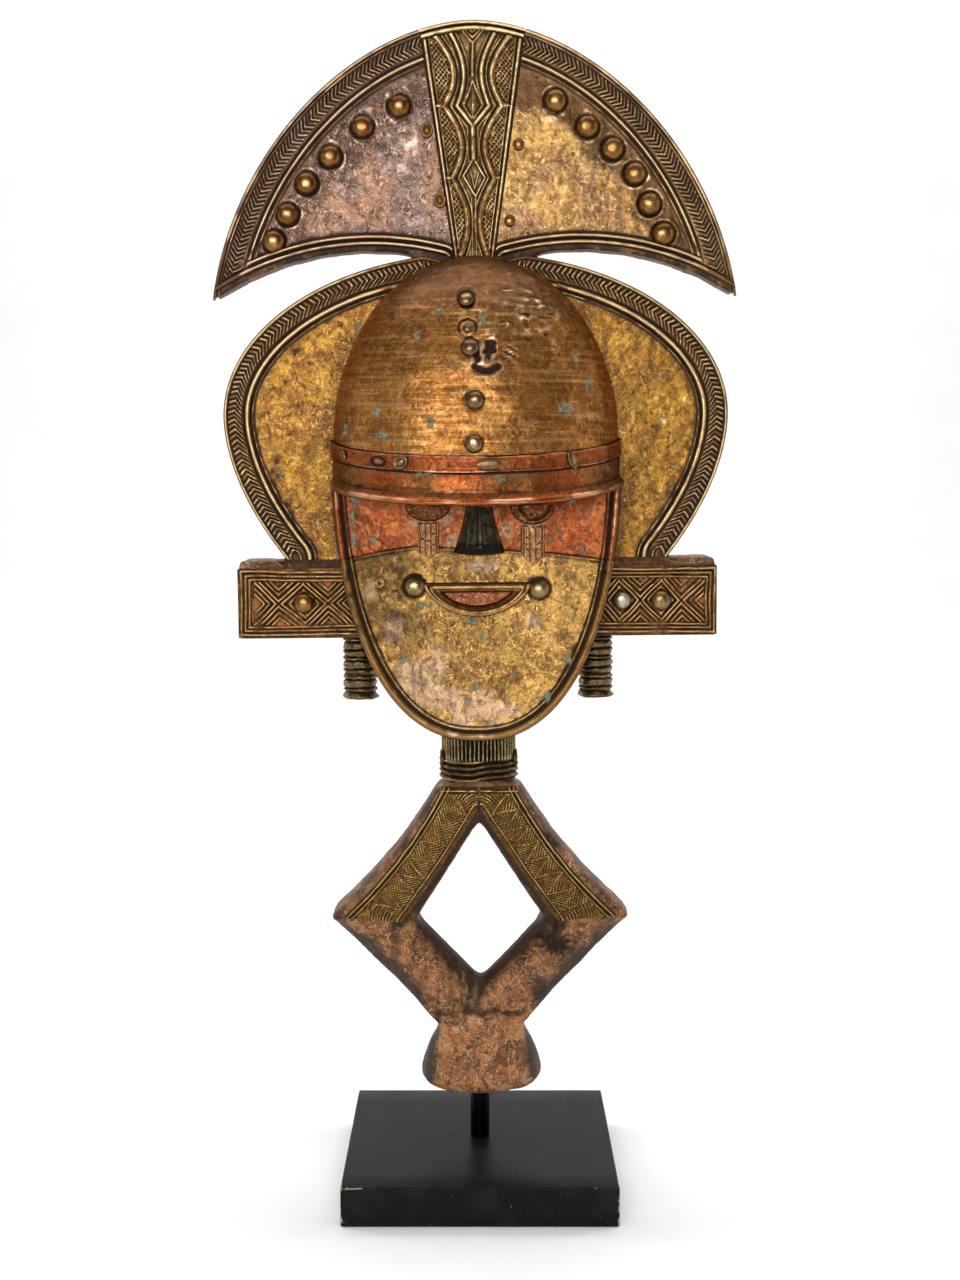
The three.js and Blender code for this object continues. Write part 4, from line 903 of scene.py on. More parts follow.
# %% Outlines of the wings
WING_TOP = 16.0
WING_HALF = 120
WING_MIDDLE = 329.5
WING_RISE = 76
WING_FOOT = 261.5
wing_turns = np.linspace(math.asin(WING_TOP / WING_HALF), math.pi / 2, 200)
wing_upper = np.stack([WING_HALF * np.sin(wing_turns), WING_MIDDLE + WING_RISE * np.cos(wing_turns)], 1)
wing_upper[:, 1] = np.where(wing_upper[:, 0] < 24,
                            np.minimum(wing_upper[:, 1], crest_under(wing_upper[:, 0]) - 0.3),
                            wing_upper[:, 1])
wing_heights = np.linspace(WING_MIDDLE, WING_FOOT, 80)[1:]
wing_lower = np.stack([WING_HALF - 28 * ((WING_MIDDLE - wing_heights) / 67) ** 1.85, wing_heights], 1)
wing_outer = evenly(np.concatenate([wing_upper, wing_lower]), 220)

FACE_HALF = 69.2
FACE_WIDEST = 320
FACE_DROP = 143.8
FACE_POWER = 2.3


def face_edge_x(z):
    """Half width of the face's outline at a height."""
    down = held((FACE_WIDEST - z) / FACE_DROP)
    return FACE_HALF * (1 - down ** FACE_POWER) ** (1 / FACE_POWER)


BROW = 319
HEAD_HALF = 67.8
HEAD_DEPTH = 40
HEAD_RISE = 85
wing_reach = HEAD_HALF - 1
head_turns = np.linspace(math.acos(WING_TOP / wing_reach), 0, 60)
head_top = np.stack([wing_reach * np.cos(head_turns), BROW + (HEAD_RISE - 1) * np.sin(head_turns)], 1)
head_side = [(68.5, 318), (68.5, 297), (67.4, 293)]
head_lower = [(face_edge_x(z) - 1.5, z) for z in np.linspace(290, WING_FOOT, 12)]
wing_inner = evenly(np.concatenate([head_top, head_side, head_lower]), 220)
print("wings from", WING_FOOT, "to", round(wing_outer[:, 1].max(), 1), "mm")

# %% [markdown]
# The wings' border follows the same idea as the crest's, with longer inner arms on the bars. The field
# inside is plain yellow brass and dented, with painted shade beside the head and a darker band inside
# the border.

# %% Wings
WING_RIMS = ((0.9, 1.8, 0.8), (11.3, 2.9, 1.2), (13.9, 0.9, 0.5))
WING_PITCH = 2.55
SIDES = ((-1, "left"), (1, "right"))
# Yellow brass, hammered thin: mustard with olive clouds, green specks and a grainy shine.
yellow_brass = aged_metal(
    "yellow_brass_sheet", "#9a6c2a", "#84562a", "#a87c2e", "#543820", "#24170c", "#f0d49c",
    tint="#604024", gilt="#64462c", gleam="#d4b484", scuff="#c89c50", rough=0.42, cloud_size=30,
    patch_size=14, speck=0.65, scratch=0.7, green=0.6, shift=0.53)


def wing_relief(side, seed):
    def relief(points, u, v):
        x, z = side * points[:, 0], points[:, 2]
        edge, along = near_path(x, z, wing_outer)
        bars = 0.95 * herringbone(edge, -along, points, 5.3, 3.5, (1.3, 0.5), WING_PITCH, seed)
        border = np.maximum(bars, ridges(edge, WING_RIMS))
        border -= 0.35 * near(edge - 9.7, 0.6) + 0.3 * near(edge - 13.0, 0.5)
        field = rising(edge, 14.4, 1.6)
        dents = dented(points, seed + 5, (0.4, 14), (0.25, 5), (0.12, 2.2))
        lines = border * (0.9 + 0.15 * wobble(points, 7, seed + 8))
        height = lines * (1 - field) + dents * field + 0.12 * wobble(points, 20, seed + 9)
        # Painted shade on the field beside the head, and a darker band just inside the border, laid as tint.
        shade = held(1.1 - (edge - 13) / 6) + (v < 0.3) * held(1.2 - v / 0.25)
        tint = np.clip(shade * (0.6 + 0.5 * wobble(points, 9, seed + 13)), 0, 0.9) * field
        gilt = held(1.5 * (1 - field)) * np.clip(1 + 0.5 * wobble(points, 9, seed + 14), 0.5, 1)
        soil = (0.06 + 0.07 * (edge > 10)) * (1 - field)
        return height, {"soil": soil, "tint": tint, "gilt": gilt}
    return relief


for side, word in SIDES:
    piece = chased(f"chased_wing_{word}", 460, 76,
                   flat_sheet(side, wing_inner, wing_outer, 0.92, 3, 17, 0.06, 0.56),
                   wing_relief(side, 60 + side), 1.2, 16)
    back_up(piece, SHEET_BACK, (wing_outer * (side, 1), FOLD))
    merge(piece)
    dress(piece, [f"wing_sheet_{word}"], yellow_brass)

# %% [markdown]
# The forehead is one sheet beaten to a dome, brushed sideways, crumpled at its upper right and torn in
# two places. It is a half ellipsoid that dips towards the front.

# %% Form of the forehead
DIP = 0.22
TORN_MIDDLE = (6.9, 358.8)


def dome_surface(u, v):
    """The forehead by its turn round the head, u, and its lift to the top, v."""
    turn = math.pi * (1 - u)
    lift = v * math.pi / 2 * 0.998
    round_in = np.cos(lift)
    forward = HEAD_DEPTH * np.sin(turn) * round_in
    x = HEAD_HALF * np.cos(turn) * round_in
    z = BROW + HEAD_RISE * np.sin(lift) - DIP * forward * round_in
    return np.stack([x, SHEET_BACK - forward, z], 1)


def torn(x, z):
    """How far a place is from the torn spots: a square hole, a slit and a crescent below them."""
    shake = 0.5 * np.sin(1.7 * z) + 0.4 * np.sin(1.1 * x + 0.9 * z)
    hole_x, hole_z = TORN_MIDDLE
    hole = np.hypot((x - hole_x - 0.1 * (z - 358)) / 0.75, (z - hole_z) / 1.1) - 3.4 + shake
    slit, _ = near_path(x, z, [(0.4, 357.5), (1.2, 353.6)])
    crescent, _ = near_path(x, z, [(0.2, 350.4), (3.6, 348.6), (7, 348.5), (10.4, 350.4)])
    return np.minimum(np.minimum(hole, slit - 1), crescent - 1.2)


def thicken(piece, thickness=0.8):
    """Gives a curved sheet its thickness, inwards from the drawn face."""
    only(piece)
    shell = piece.modifiers.new("thickness", "SOLIDIFY")
    shell.thickness = thickness
    shell.offset = -1
    bpy.ops.object.modifier_apply(modifier=shell.name)


print("dome", 2 * HEAD_HALF, "mm wide and", HEAD_RISE, "mm high")

# %% [markdown]
# The dome's relief is drawn by where it lies: brush lines all over, dips round the nails, folds and
# curls in the crumpled part, raised lips round the torn holes and small ribs beside them.

# %% Forehead
# Each spot of verdigris is its x, its z, its half width and its half height.
VERDIGRIS = [(-46, 331, 1.6, 4), (-43.6, 319.5, 4, 2.4), (-20.6, 324, 2, 3.4), (41.2, 331.5, 3.6, 2.2),
             (46, 354, 1.6, 3.6), (-26, 365, 1.5, 2.5), (5.6, 371, 3, 3), (-61, 322, 1.5, 3),
             (-35, 336, 2, 2), (52, 343, 1.5, 4), (-16, 377.5, 3, 1.4), (20, 318, 4, 1.2), (-33, 318, 3, 1)]
CRUMPLE = (24, 372)
RIBS = (15.5, 356.5)
BROKEN_NAIL = (-3, 368.2)
NAIL_HOLE = (4.5, 368.5)
# Brown brass, beaten and brushed: warm bronze with long sideways strokes and a broad soft shine.
brown_brass = aged_metal(
    "brown_brass_sheet", "#a06628", "#8e5822", "#b47e3e", "#5e3818", "#1a0e06", "#f4dcb8", tint="#b46c2a",
    gilt="#6a4a36", scuff="#d8a468", patch_size=12, green=0.3, brushed=0.5, shift=0.71)


def dome_relief(points, u, v):
    x, z = points[:, 0], points[:, 2]
    studs = studs_on([f"forehead_stud_{i}" for i in range(1, 6)])
    height = 0.16 * wobble(points * (0.2, 0.2, 1), 2.2, 81) + dented(points, 82, (0.35, 16), (0.15, 6))
    height += 0.9 * halo(points, studs, 3.9)
    crumple = held(1.2 - np.hypot((x - CRUMPLE[0]) / 30, (z - CRUMPLE[1]) / 26))
    height += crumple * (0.8 * np.abs(wobble(points * (1, 1, 1.8), 7, 84)) + 0.4 * wobble(points, 3, 85))
    gap = torn(x, z)
    height += 0.3 * bell((gap - 1.3) / 0.8) - 0.8 * held(0.5 - 0.7 * gap)
    curls = near(wobble(points * (1, 1, 1.3), 6, 88), 0.14)
    curls *= held(1.6 * crumple) * held(0.4 + 2 * wobble(points, 5, 90))
    height += 0.35 * curls
    ribs = np.exp(-(((x - RIBS[0]) / 3.6) ** 2 + ((z - RIBS[1]) / 4.6) ** 2))
    height += 0.6 * ribs * np.sin(2 * math.pi * (z + 0.5 * x) / 3.2)
    nail = np.hypot(x - BROKEN_NAIL[0], z - BROKEN_NAIL[1])
    nail_hole = np.hypot(x - NAIL_HOLE[0], z - NAIL_HOLE[1])
    height += 0.15 * bell((nail - 3.4) / 0.9) + 0.25 * bell((nail_hole - 2.6) / 0.6)
    # The sides are redder, and the crumpled part and the top are greyer.
    width = HEAD_HALF * np.sqrt(np.clip(1 - ((z - BROW) / (HEAD_RISE + 1)) ** 2, 0.02, 1))
    sides = rising(np.abs(x) / width, 0.75, 0.25)
    tint = held(sides + 0.35 * wobble(points, 10, 86))
    stain = blobs(points, VERDIGRIS, 0.9, 87, 3)
    # The torn holes are painted dark, as the shade inside them; round the broken nail it is grime, and the
    # curls are cleaner.
    soil = 0.3 * held(0.75 - 0.5 * gap) + 0.06 * near(nail - 4.6, 1) - 0.08 * curls
    grey = rising(z, 368, 20) + 0.5 * crumple * held(0.5 + wobble(points, 8, 94))
    grey = 0.75 * held(grey) * (1 - sides)
    return height, {"tint": tint * 0.9, "stain": stain * 0.66, "soil": soil, "gilt": grey}


dome = chased("beaten_forehead", 210, 120, dome_surface, dome_relief, 0.8, 8)
merge(dome)
thicken(dome)
dress(dome, ["forehead_sheet"], brown_brass)

# %% [markdown]
# Two copper bands run round the brow: a narrow one, and a wider one that ends in a rolled brim over the
# face. Each is its profile carried round the head.

# %% Upper band
# Each point of a profile is its height and how far it stands out from the head.
UPPER_BAND = [(311.6, 1.3), (312.2, 1.7), (318.2, 1.7), (318.8, 1.2)]
BAND_HEIGHT = 7.4
# Copper with a dark oxide skin, rubbed: red where it is bright, brown in the folds.
red_copper = aged_metal(
    "red_copper_sheet", "#98481f", "#a65a2a", "#803e1a", "#4c2410", "#180b06", "#f0b088", tint="#7c5c30",
    scuff="#bc7248", rough=0.38, cloud_size=18, patch_size=7, scratch=0.4, green=0.25, shift=0.29,
    rub=(0.56, 0.8))


def band_surface(profile):
    def surface(u, v):
        spot = along_path(profile, v)
        turn = math.pi * (1 - u)
        grow = spot[:, 1]
        y = SHEET_BACK - (HEAD_DEPTH + grow) * np.sin(turn)
        z = spot[:, 0] + DIP * (y - SHEET_BACK)
        return np.stack([(HEAD_HALF + grow) * np.cos(turn), y, z], 1)
    return surface


def upper_relief(points, u, v):
    height = 0.5 * wobble(points, 9, 91) + 0.25 * wobble(points * (0.5, 0.5, 1), 3.5, 92)
    rims = ridge(v * BAND_HEIGHT - 0.5, 1.2, 0.45) + ridge((1 - v) * BAND_HEIGHT - 0.5, 1.2, 0.45)
    oval = np.hypot((points[:, 0] + 45) / 1.6, v * BAND_HEIGHT - 3.4)
    stain = held(1.6 - oval) * 0.6
    soil = 0.3 * (np.minimum(v, 1 - v) < 0.04) + 0.3 * (np.abs(oval - 1.9) < 0.5)
    tint = held(0.5 * wobble(points, 12, 93))
    return height + rims, {"soil": soil, "tint": tint, "stain": stain}


upper_band = chased("brow_band_of_copper", 230, 16, band_surface(UPPER_BAND), upper_relief, 0.9, 6)
thicken(upper_band)
dress(upper_band, ["brow_band_upper"], red_copper)

# %% [markdown]
# The lower band is hollow in a cove and then rolls out over the face. Its roll is polished by hands and
# also carries a painted highlight along its crest, and the cove above it keeps its brown skin.

# %% Rolled brim
BRIM = [(296.5, 0.9), (296.6, 1.9), (297.6, 2.7), (298.6, 2.5), (299.6, 1.5), (301.3, 0.5), (304, -0.2),
        (307.5, -0.3), (311.2, 0.1)]
BRIM_GREEN = [(-24, 302, 5, 1.5), (-30, 305, 3, 1.2), (11, 299, 3, 1.2), (-44, 306, 2, 2)]


def brim_relief(points, u, v):
    height = 0.5 * wobble(points, 9, 95) + 0.25 * wobble(points * (0.5, 0.5, 1), 3, 96)
    cove = rising(v, 0.36, 0.1)
    tint = cove * held(0.15 + 1.1 * wobble(points, 12, 97))
    dark = 0.3 * bell((v - 0.98) / 0.05) + 0.16 * bell((v - 0.42) / 0.06)
    dark += 0.16 * bell((v - 0.02) / 0.05)
    ends = rising(np.abs(points[:, 0]), 46, 8)
    crackle = near(wobble(points, 3.2, 98), 0.12) * ends * (v > 0.3)
    # A painted highlight along the crest of the roll, where it is also polished; dark lines lie along both
    # edges and at the foot of the cove.
    polish_and_highlight = 0.43 * bell((v - 0.2) / 0.06) * held(0.7 + wobble(points, 10, 99))
    stain = blobs(points, BRIM_GREEN, 0.8, 89, 3)
    marks = {"soil": dark - polish_and_highlight + 0.2 * crackle, "tint": np.maximum(tint, ends * 0.6),
             "stain": stain * 0.7}
    return height * (0.4 + 0.6 * cove) + 0.3 * crackle, marks


brim = chased("rolled_brim", 240, 34, band_surface(BRIM), brim_relief, 0.9, 6)
thicken(brim)
dress(brim, ["brow_band_lower"], red_copper)

# %% [markdown]
# The face is a shield, hollow like a shallow dish. Its outline is the same superellipse that the wings
# follow. How far out a point lies on the way to the outline says how deep the dish is there.

# %% Dish of the face
FACE_TOP = 294.44
CHIN = 176.2
FACE_MIDDLE = CHIN + 0.6 * (FACE_TOP - CHIN)
FACE_TOP_Y = -15.0
FACE_CHIN_Y = -31.0
DISH = 4

low_turn = math.acos(((FACE_WIDEST - FACE_TOP) / FACE_DROP) ** (FACE_POWER / 2))
half_turns = np.linspace(low_turn, 0, 120)
half_face = np.stack([FACE_HALF * np.sin(half_turns) ** (2 / FACE_POWER),
                      FACE_WIDEST - FACE_DROP * np.cos(half_turns) ** (2 / FACE_POWER)], 1)
face_ring = np.concatenate([half_face, (half_face * (-1, 1))[::-1][1:]])
top_edge = np.stack([np.linspace(-half_face[0, 0], half_face[0, 0], 60)[1:-1], np.full(58, FACE_TOP)], 1)
whole_ring = np.concatenate([face_ring, top_edge])
ring_angles = np.arctan2(whole_ring[:, 1] - FACE_MIDDLE, whole_ring[:, 0])
ring_order = np.argsort(ring_angles)
ring_angles = ring_angles[ring_order]
ring_reach = np.hypot(whole_ring[:, 0], whole_ring[:, 1] - FACE_MIDDLE)[ring_order]


def face_share(x, z):
    """How far out a point of the face lies, from 0 in the middle to 1 on the outline."""
    angle = np.arctan2(z - FACE_MIDDLE, x)
    reach = np.interp(angle, ring_angles, ring_reach, period=2 * math.pi)
    return np.hypot(x, z - FACE_MIDDLE) / reach


def face_y(x, z):
    """Depth of the dished face at a place."""
    plane = FACE_CHIN_Y + (FACE_TOP_Y - FACE_CHIN_Y) * (z - CHIN) / (FACE_TOP - CHIN)
    return plane + DISH * (1 - held(face_share(x, z)) ** 2)


print("face", round(2 * half_face[0, 0], 1), "mm wide at its top")

# %% [markdown]
# Copper cheeks lie over the brass of the lower face and meet it along an arched seam. All three sheets
# share one relief: a rolled rim with a groove inside it, the seam, dents, dips round the mouth's studs
# and small punched rings.

# %% Relief of the face
SEAM = [(-66, 260.5), (-45, 265), (-30, 267), (-8.4, 266), (13.3, 265), (35, 263.5), (51, 261.5),
        (66, 259)]
RIM_WIDTH = 4.2


def seam_height(x):
    return np.interp(x, *np.array(SEAM).T)


def brown_skin(points, seed):
    """Where the lower face keeps its brown skin: on the left, under the nose and on the right."""
    x, z = points[:, 0], points[:, 2]
    left = held((-18 - x) / 14 + 0.9 * wobble(points, 11, seed)) * rising(z, 212, 18)
    under_nose = np.exp(-(x / 34) ** 2 - ((z - 256) / 7) ** 2)
    return (0.8 * left + 0.7 * under_nose + 0.5 * rising(x, 28, 14)) * (z < seam_height(x))


def face_relief(seed, tints=(), stains=(), rings=(), crumples=()):
    """Tints, stains and crumples are x, z, half width and half height. Rings are x, z and radius."""
    def relief(points, u, v):
        x, z = points[:, 0], points[:, 2]
        studs = studs_on(["mouth_stud_left", "mouth_stud_right"])
        edge, _ = near_path(x, z, face_ring)
        above_seam = z - seam_height(x)
        rolled = np.maximum(ridge(edge - 1.9, 3.9, 1.6, 0.8), ridge(edge - 5.6, 1.3, 0.6))
        height = rolled - 0.2 * near(edge - RIM_WIDTH, 0.7) + ridge(above_seam, 1.6, 0.35)
        height += dented(points, seed, (0.3, 12), (0.18, 5), (0.08, 2.4)) + halo(points, studs, 4.9)
        for ring_x, ring_z, radius in rings:
            away = np.hypot(x - ring_x, z - ring_z)
            height += 0.3 * bell((away - radius) / 0.5) + 0.2 * bell(away / 0.6)
        for place in crumples:
            creased = 0.6 * np.abs(wobble(points, 3.4, seed + 7)) + 0.15 * wobble(points, 2, seed + 8)
            height += blobs(points, [place], 0.3, seed + 6) * creased
        rim = held((RIM_WIDTH - edge) / 0.5)
        tint = blobs(points, tints, 0.6, seed + 4, 7) * (1 - rim)
        stain = blobs(points, stains, 0.8, seed + 5, 3)
        brown = brown_skin(points, seed + 9)
        soil = 0.1 * (edge > 3.7) * (edge < 5.1) + 0.1 * (edge < 7) + 0.1 * (np.abs(above_seam) < 1)
        soil = soil * (edge > 0.5) - 0.02 * rim + 0.13 * brown
        gilt = np.maximum(rim, 0.3 * brown)
        return height, {"soil": soil, "tint": tint * 0.85, "stain": stain * 0.8, "gilt": gilt}
    return relief


print("the seam is", round(float(seam_height(0)), 1), "mm up in the middle of the face")

# %% [markdown]
# The lower face is a grid between the line of the chin and the seam, with close rows over the rolled
# rim.

# %% Lower face
PALE_PATCHES = [(-27, 206, 13, 12), (-12, 194, 12, 7), (8, 190, 12, 5), (-38, 228, 5, 8), (-50, 246, 5, 5),
                (2, 258, 9, 2.5), (26, 232, 5, 4), (-4, 191, 25, 9)]
FACE_GREEN = [(-17.5, 242, 3.5, 1.6), (-27, 239, 3, 1.5), (-4, 232, 3, 1.2), (33, 196, 2, 3),
              (43, 214, 1.5, 3), (-14, 181, 2, 1), (5, 208, 1.6, 1.6)]
PUNCHED_RINGS = [(-46, 250.5, 1.5), (-39, 249, 1)]
# Yellow brass with mineral crusts: mottled gold and brown, with chalky pink patches by the chin.
face_metal = aged_metal(
    "mottled_face_brass", "#76562a", "#a07a3e", "#6e4e2e", "#50381e", "#20140a", "#f0dcb4",
    tint="#b0927a", gilt="#8c6438", gleam="#e0c090", scuff="#bc9656", cloud_size=28, patch_size=14,
    speck=0.55, green=0.8, scratch=1.0, shift=0.93)
lower_ring = face_ring[(face_ring[:, 1] < 259.8)]
lower_ring = lower_ring[np.argsort(np.arctan2(lower_ring[:, 0], 300 - lower_ring[:, 1]))]
chin_path = evenly(np.concatenate([[(-65.0, 260.2)], lower_ring, [(65.0, 259.6)]]), 200)
seam_path = evenly([(-65.0, 260.8), *SEAM[1:-1], (65.0, 260.0)], 200)


def lower_face_surface(u, v):
    x, z = between(along_path(chin_path, u), along_path(seam_path, u), v, 9, 2, 0.3, 0.05).T
    return np.stack([x, face_y(x, z), z], 1)


face_sheet = chased("dished_face", 250, 66, lower_face_surface,
                    face_relief(101, PALE_PATCHES, FACE_GREEN, PUNCHED_RINGS), 0.9, 8)
merge(face_sheet)
thicken(face_sheet)
dress(face_sheet, ["face_sheet"], face_metal)

# %% [markdown]
# Each cheek runs from the seam up to the brim. The two meet behind the nose.

# %% Cheeks
SEAM_GAP = 0.25
NOSE_GAP = 0.15
# Copper, hammered and oiled by hands: orange with brown clouds and a few green specks.
cheek_copper = aged_metal(
    "orange_cheek_copper", "#8e4420", "#9a542a", "#74402a", "#4c2a18", "#1c0e07", "#e0a880",
    tint="#a07c60", gilt="#844a28", gleam="#e0a078", scuff="#bc7c50", rough=0.44, cloud_size=18,
    patch_size=10, scratch=0.4, green=0.4, shift=0.39)


def cheek_surface(side):
    def surface(u, v):
        run = u if side > 0 else 1 - u
        top = FACE_TOP + 0.2
        foot = seam_height(side * (NOSE_GAP + run * 65.2)) + SEAM_GAP
        outline = face_edge_x(foot + (top - foot) * v)
        x = NOSE_GAP + run * (outline - NOSE_GAP)
        foot = seam_height(side * x) + SEAM_GAP
        z = foot + (top - foot) * v
        return np.stack([side * x, face_y(x, z), z], 1)
    return surface


CHEEK_MARKS = {
    -1: ([(-27, 278.5, 8, 4), (-15, 281, 5, 5), (-11, 270, 4, 5)],
         [(-58.6, 284, 1.2, 7), (-58.4, 272, 1.4, 6), (-50, 271, 2, 2), (-56, 290, 2, 3)],
         [(-47.6, 268.7, 1.9)], [(-15, 279, 7, 6), (-10, 269, 5, 4)]),
    1: ([(27, 279, 8, 3), (14, 277, 3, 7)], [(46, 289, 2, 1.5)], [(48.8, 265.9, 1.7)], [(15, 272, 5, 5)])}
for side, word in SIDES:
    piece = chased(f"cheek_of_copper_{word}", 120, 50, cheek_surface(side),
                   face_relief(111 + side, *CHEEK_MARKS[side]), 0.9, 6)
    thicken(piece)
    dress(piece, [f"cheek_sheet_{word}"], cheek_copper)

# %% [markdown]
# The features are small castings and cut-outs laid on the face. Each is a grid over its own outline,
# raised from the dish by its own swelling, so that it sits on the sheet wherever it is.

# %% Pieces laid on the face
LAID = 0.3


def rub(piece, height, gain, rounds, soil):
    """Stores as wear how far each point stands above its surroundings."""
    paint_on(piece, "wear_and_shading", LEVEL - soil + gain * (height - averaged(piece, height, rounds)))


def on_face(x, z):
    """Places on the sheet of the face, a little inside it."""
    return np.stack([x, face_y(x, z) - LAID, z], 1)


def laid_on_face(name, across, up, outline, swelling, nodes, finish, seed, gain=0.7, soil=0.0):
    """A piece over outline(u, v) in x and z, swelling(u, v, points) high above the sheet of the face."""
    kept = {}

    def place(u, v):
        ground = on_face(*outline(u, v).T)
        tall = swelling(u, v, ground)
        tall = tall + 0.15 * wobble(ground, 3, seed) * held(tall)
        kept["height"] = tall
        kept["soil"] = soil(v) if callable(soil) else soil
        return ground - np.array([0, 1, 0]) * tall[:, None]

    piece = laid_grid(name, across, up, place)
    rub(piece, kept["height"], gain, 6, kept["soil"])
    back_up(piece, lambda p: face_y(p[:, 0], p[:, 2]) - 0.05)
    merge(piece, 0.004)
    dress(piece, nodes, finish)


# %% [markdown]
# The nose is a wedge that widens and rises downwards. Long folds run down it, and its foot is painted
# dark, as shade on its downward face.

# %% Nose
NOSE_TOP = 286
NOSE_FOOT = 264.5
NOSE_X = 1.2
# Iron with a black forge skin: green black, with thin pale lines where the skin has worn off.
black_iron = aged_metal(
    "blackened_iron", "#545040", "#686250", "#423c30", "#2a251b", "#0e0a06", "#c8c8a8", scuff="#848068",
    rough=0.42, cloud_size=9, patch_size=4, shift=0.47, rub=(0.55, 0.8))


def nose_outline(u, v):
    across = 2 * u - 1
    down = 1 - v
    half = (12.6 + 12 * down ** 1.3) / 2
    z = NOSE_TOP + (NOSE_FOOT - NOSE_TOP) * down
    return np.stack([NOSE_X + across * half, z - 1.2 * np.cos(across * 1.5) * down ** 3], 1)


def nose_swelling(u, v, ground):
    across = 2 * u - 1
    down = 1 - v
    proud = 3.6 + 8.4 * down ** 1.1
    shape = held(1 - np.abs(across) ** 2.6) ** 0.7
    tip = held((1 - down) / 0.07) ** 0.5
    centre = 1.1 * ridge(across - 0.05, 0.26, 1.0)
    shake = 0.35 * wobble(ground * (1, 1, 0.3), 3, 122)
    folds = 0.4 * bar(across * 2.8 + shake, 0.6) * np.clip(down * 2, 0.3, 1)
    ends = held(v / 0.16) ** 0.7
    return proud * shape * (0.35 + 0.65 * ends) * (0.5 + 0.5 * tip) + np.maximum(centre, folds)


# The foot of the nose is painted dark, as shade on its downward face.
laid_on_face("ridged_nose", 60, 48, nose_outline, nose_swelling, ["nose"], black_iron, 121,
             0.9, lambda v: 0.02 + held(1.3 - v / 0.2))

# %% [markdown]
# The eyes are half discs that hang from under the brim. The right one has an inner disc with a hole.

# %% Eyes
EYE_HALF = 10.9
# Copper browned by heat: a dull dark red with a little shine on its swelling.
browned_copper = aged_metal(
    "browned_copper", "#6c3a1e", "#7c4424", "#50301c", "#38200f", "#120905", "#e0a070", rough=0.36,
    cloud_size=8, patch_size=5, scratch=0.15, shift=0.14)


def eye_outline(x0, top, drop):
    def outline(u, v):
        turn = math.pi * (1 - u)
        x = x0 + EYE_HALF * np.cos(turn)
        return np.stack([x, top - drop * np.sin(turn) * (1 - v)], 1)
    return outline


def eye_swelling(x0, top, drop, lidded):
    def swelling(u, v, ground):
        x, z = ground[:, 0] - x0, top - ground[:, 2]
        out = np.hypot(x / EYE_HALF, z / drop)
        tall = 0.7 + 2.4 * held(1 - out ** 2.4) + 0.5 * ridge(out - 0.88, 0.17, 1.0)
        if lidded:
            inner = np.hypot((x - 0.8) / 6.4, z / (drop * 0.66))
            tall += 0.6 * held((1 - inner) * 4) - 0.7 * bell((inner - 1.08) / 0.1)
            hole = np.hypot(x + 0.6, 4.4 - z)
            tall -= 0.9 * held(1.4 - hole)
        return tall
    return swelling


for word, x0, top, drop in (("left", -23, 287, 7.6), ("right", 26.6, 286.5, 9)):
    laid_on_face(f"bulging_eye_{word}", 72, 26, eye_outline(x0, top, drop),
                 eye_swelling(x0, top, drop, word == "right"), [f"eye_{word}"],
                 browned_copper, 131, soil=0.05)

# %% [markdown]
# A strip hangs below each eye like tears. It is a plate with three lanes of long beads in a beaded rim,
# and its foot is cut to a point.

# %% Tears
# Brass that leans to copper, rubbed: rosy tan, with a dark line round each bead.
rosy_brass = aged_metal(
    "rosy_tear_brass", "#a87c54", "#b0805c", "#946a48", "#6c4a3c", "#3c2422", "#f0d0a8", rough=0.38,
    cloud_size=7, patch_size=5, scratch=0.2, shift=0.22)


def tear_outline(x0, top, half, length, point):
    def outline(u, v):
        across = 2 * u - 1
        foot = top - length - point * (1 - np.abs(across))
        return np.stack([x0 + across * half, top + (foot - top) * (1 - v)], 1)
    return outline


def tear_swelling(rows):
    """Three lanes of long beads inside a beaded rim. Rows gives the number of beads in each lane."""
    def swelling(u, v, ground):
        across = 2 * u - 1 + 0.05 * wobble(ground, 3, 143)
        lane = (across + 0.78) / 0.52
        count = np.array(rows)[np.clip(lane.astype(int), 0, 2)]
        along = 2 * (((1 - v) * count) % 1) - 1
        inside = 2 * (lane % 1) - 1
        bead = held(1 - inside ** 4) * held(1 - along ** 6)
        hollow = held(1 - (inside / 0.4) ** 2) * held(1 - (along / 0.7) ** 4)
        body = np.where(np.abs(across) < 0.76, 0.6 * bead - 0.3 * hollow, 0)
        rim = 0.7 * ridge(np.abs(across) - 0.9, 0.2, 1.0) * (0.7 + 0.3 * bar((1 - v) * 9, 0.8))
        return 0.7 + body + rim
    return swelling


for word, x0, top, half, length, point, rows in (("left", -23, 278.8, 5, 14, 2.5, (4, 2, 3)),
                                                 ("right", 26.6, 276.9, 5.6, 13.5, 5.5, (3, 1, 2))):
    laid_on_face(f"tear_of_brass_{word}", 50, 66, tear_outline(x0, top, half, length, point),
                 tear_swelling(rows), [f"tear_strip_{word}"], rosy_brass, 141)

# %% [markdown]
# The lips are one strip of brass bent to a half moon, with three raised lines on it. Its grid runs once
# round the mouth, and the inset inside it is a thin sheet of dull copper.

# %% Mouth
MOUTH_HALF = 25.2
MOUTH_TOP = 249.7
MOUTH_DROP = 14.6
LIP_WIDTH = 4.2
# Cast or heavy brass, seldom rubbed: dark olive brown, with clear gold only on its ridges.
dark_brass = aged_metal(
    "dark_brass", "#764f28", "#5e3e20", "#845c2e", "#341f0d", "#1c1108", "#c69a62", tint="#523620",
    gilt="#98502a", gleam="#e0a070", scuff="#a8804c", rough=0.38, cloud_size=12, patch_size=5,
    scratch=0.3, shift=0.19, rub=(0.56, 0.84), grime=(0.46, 0.22))
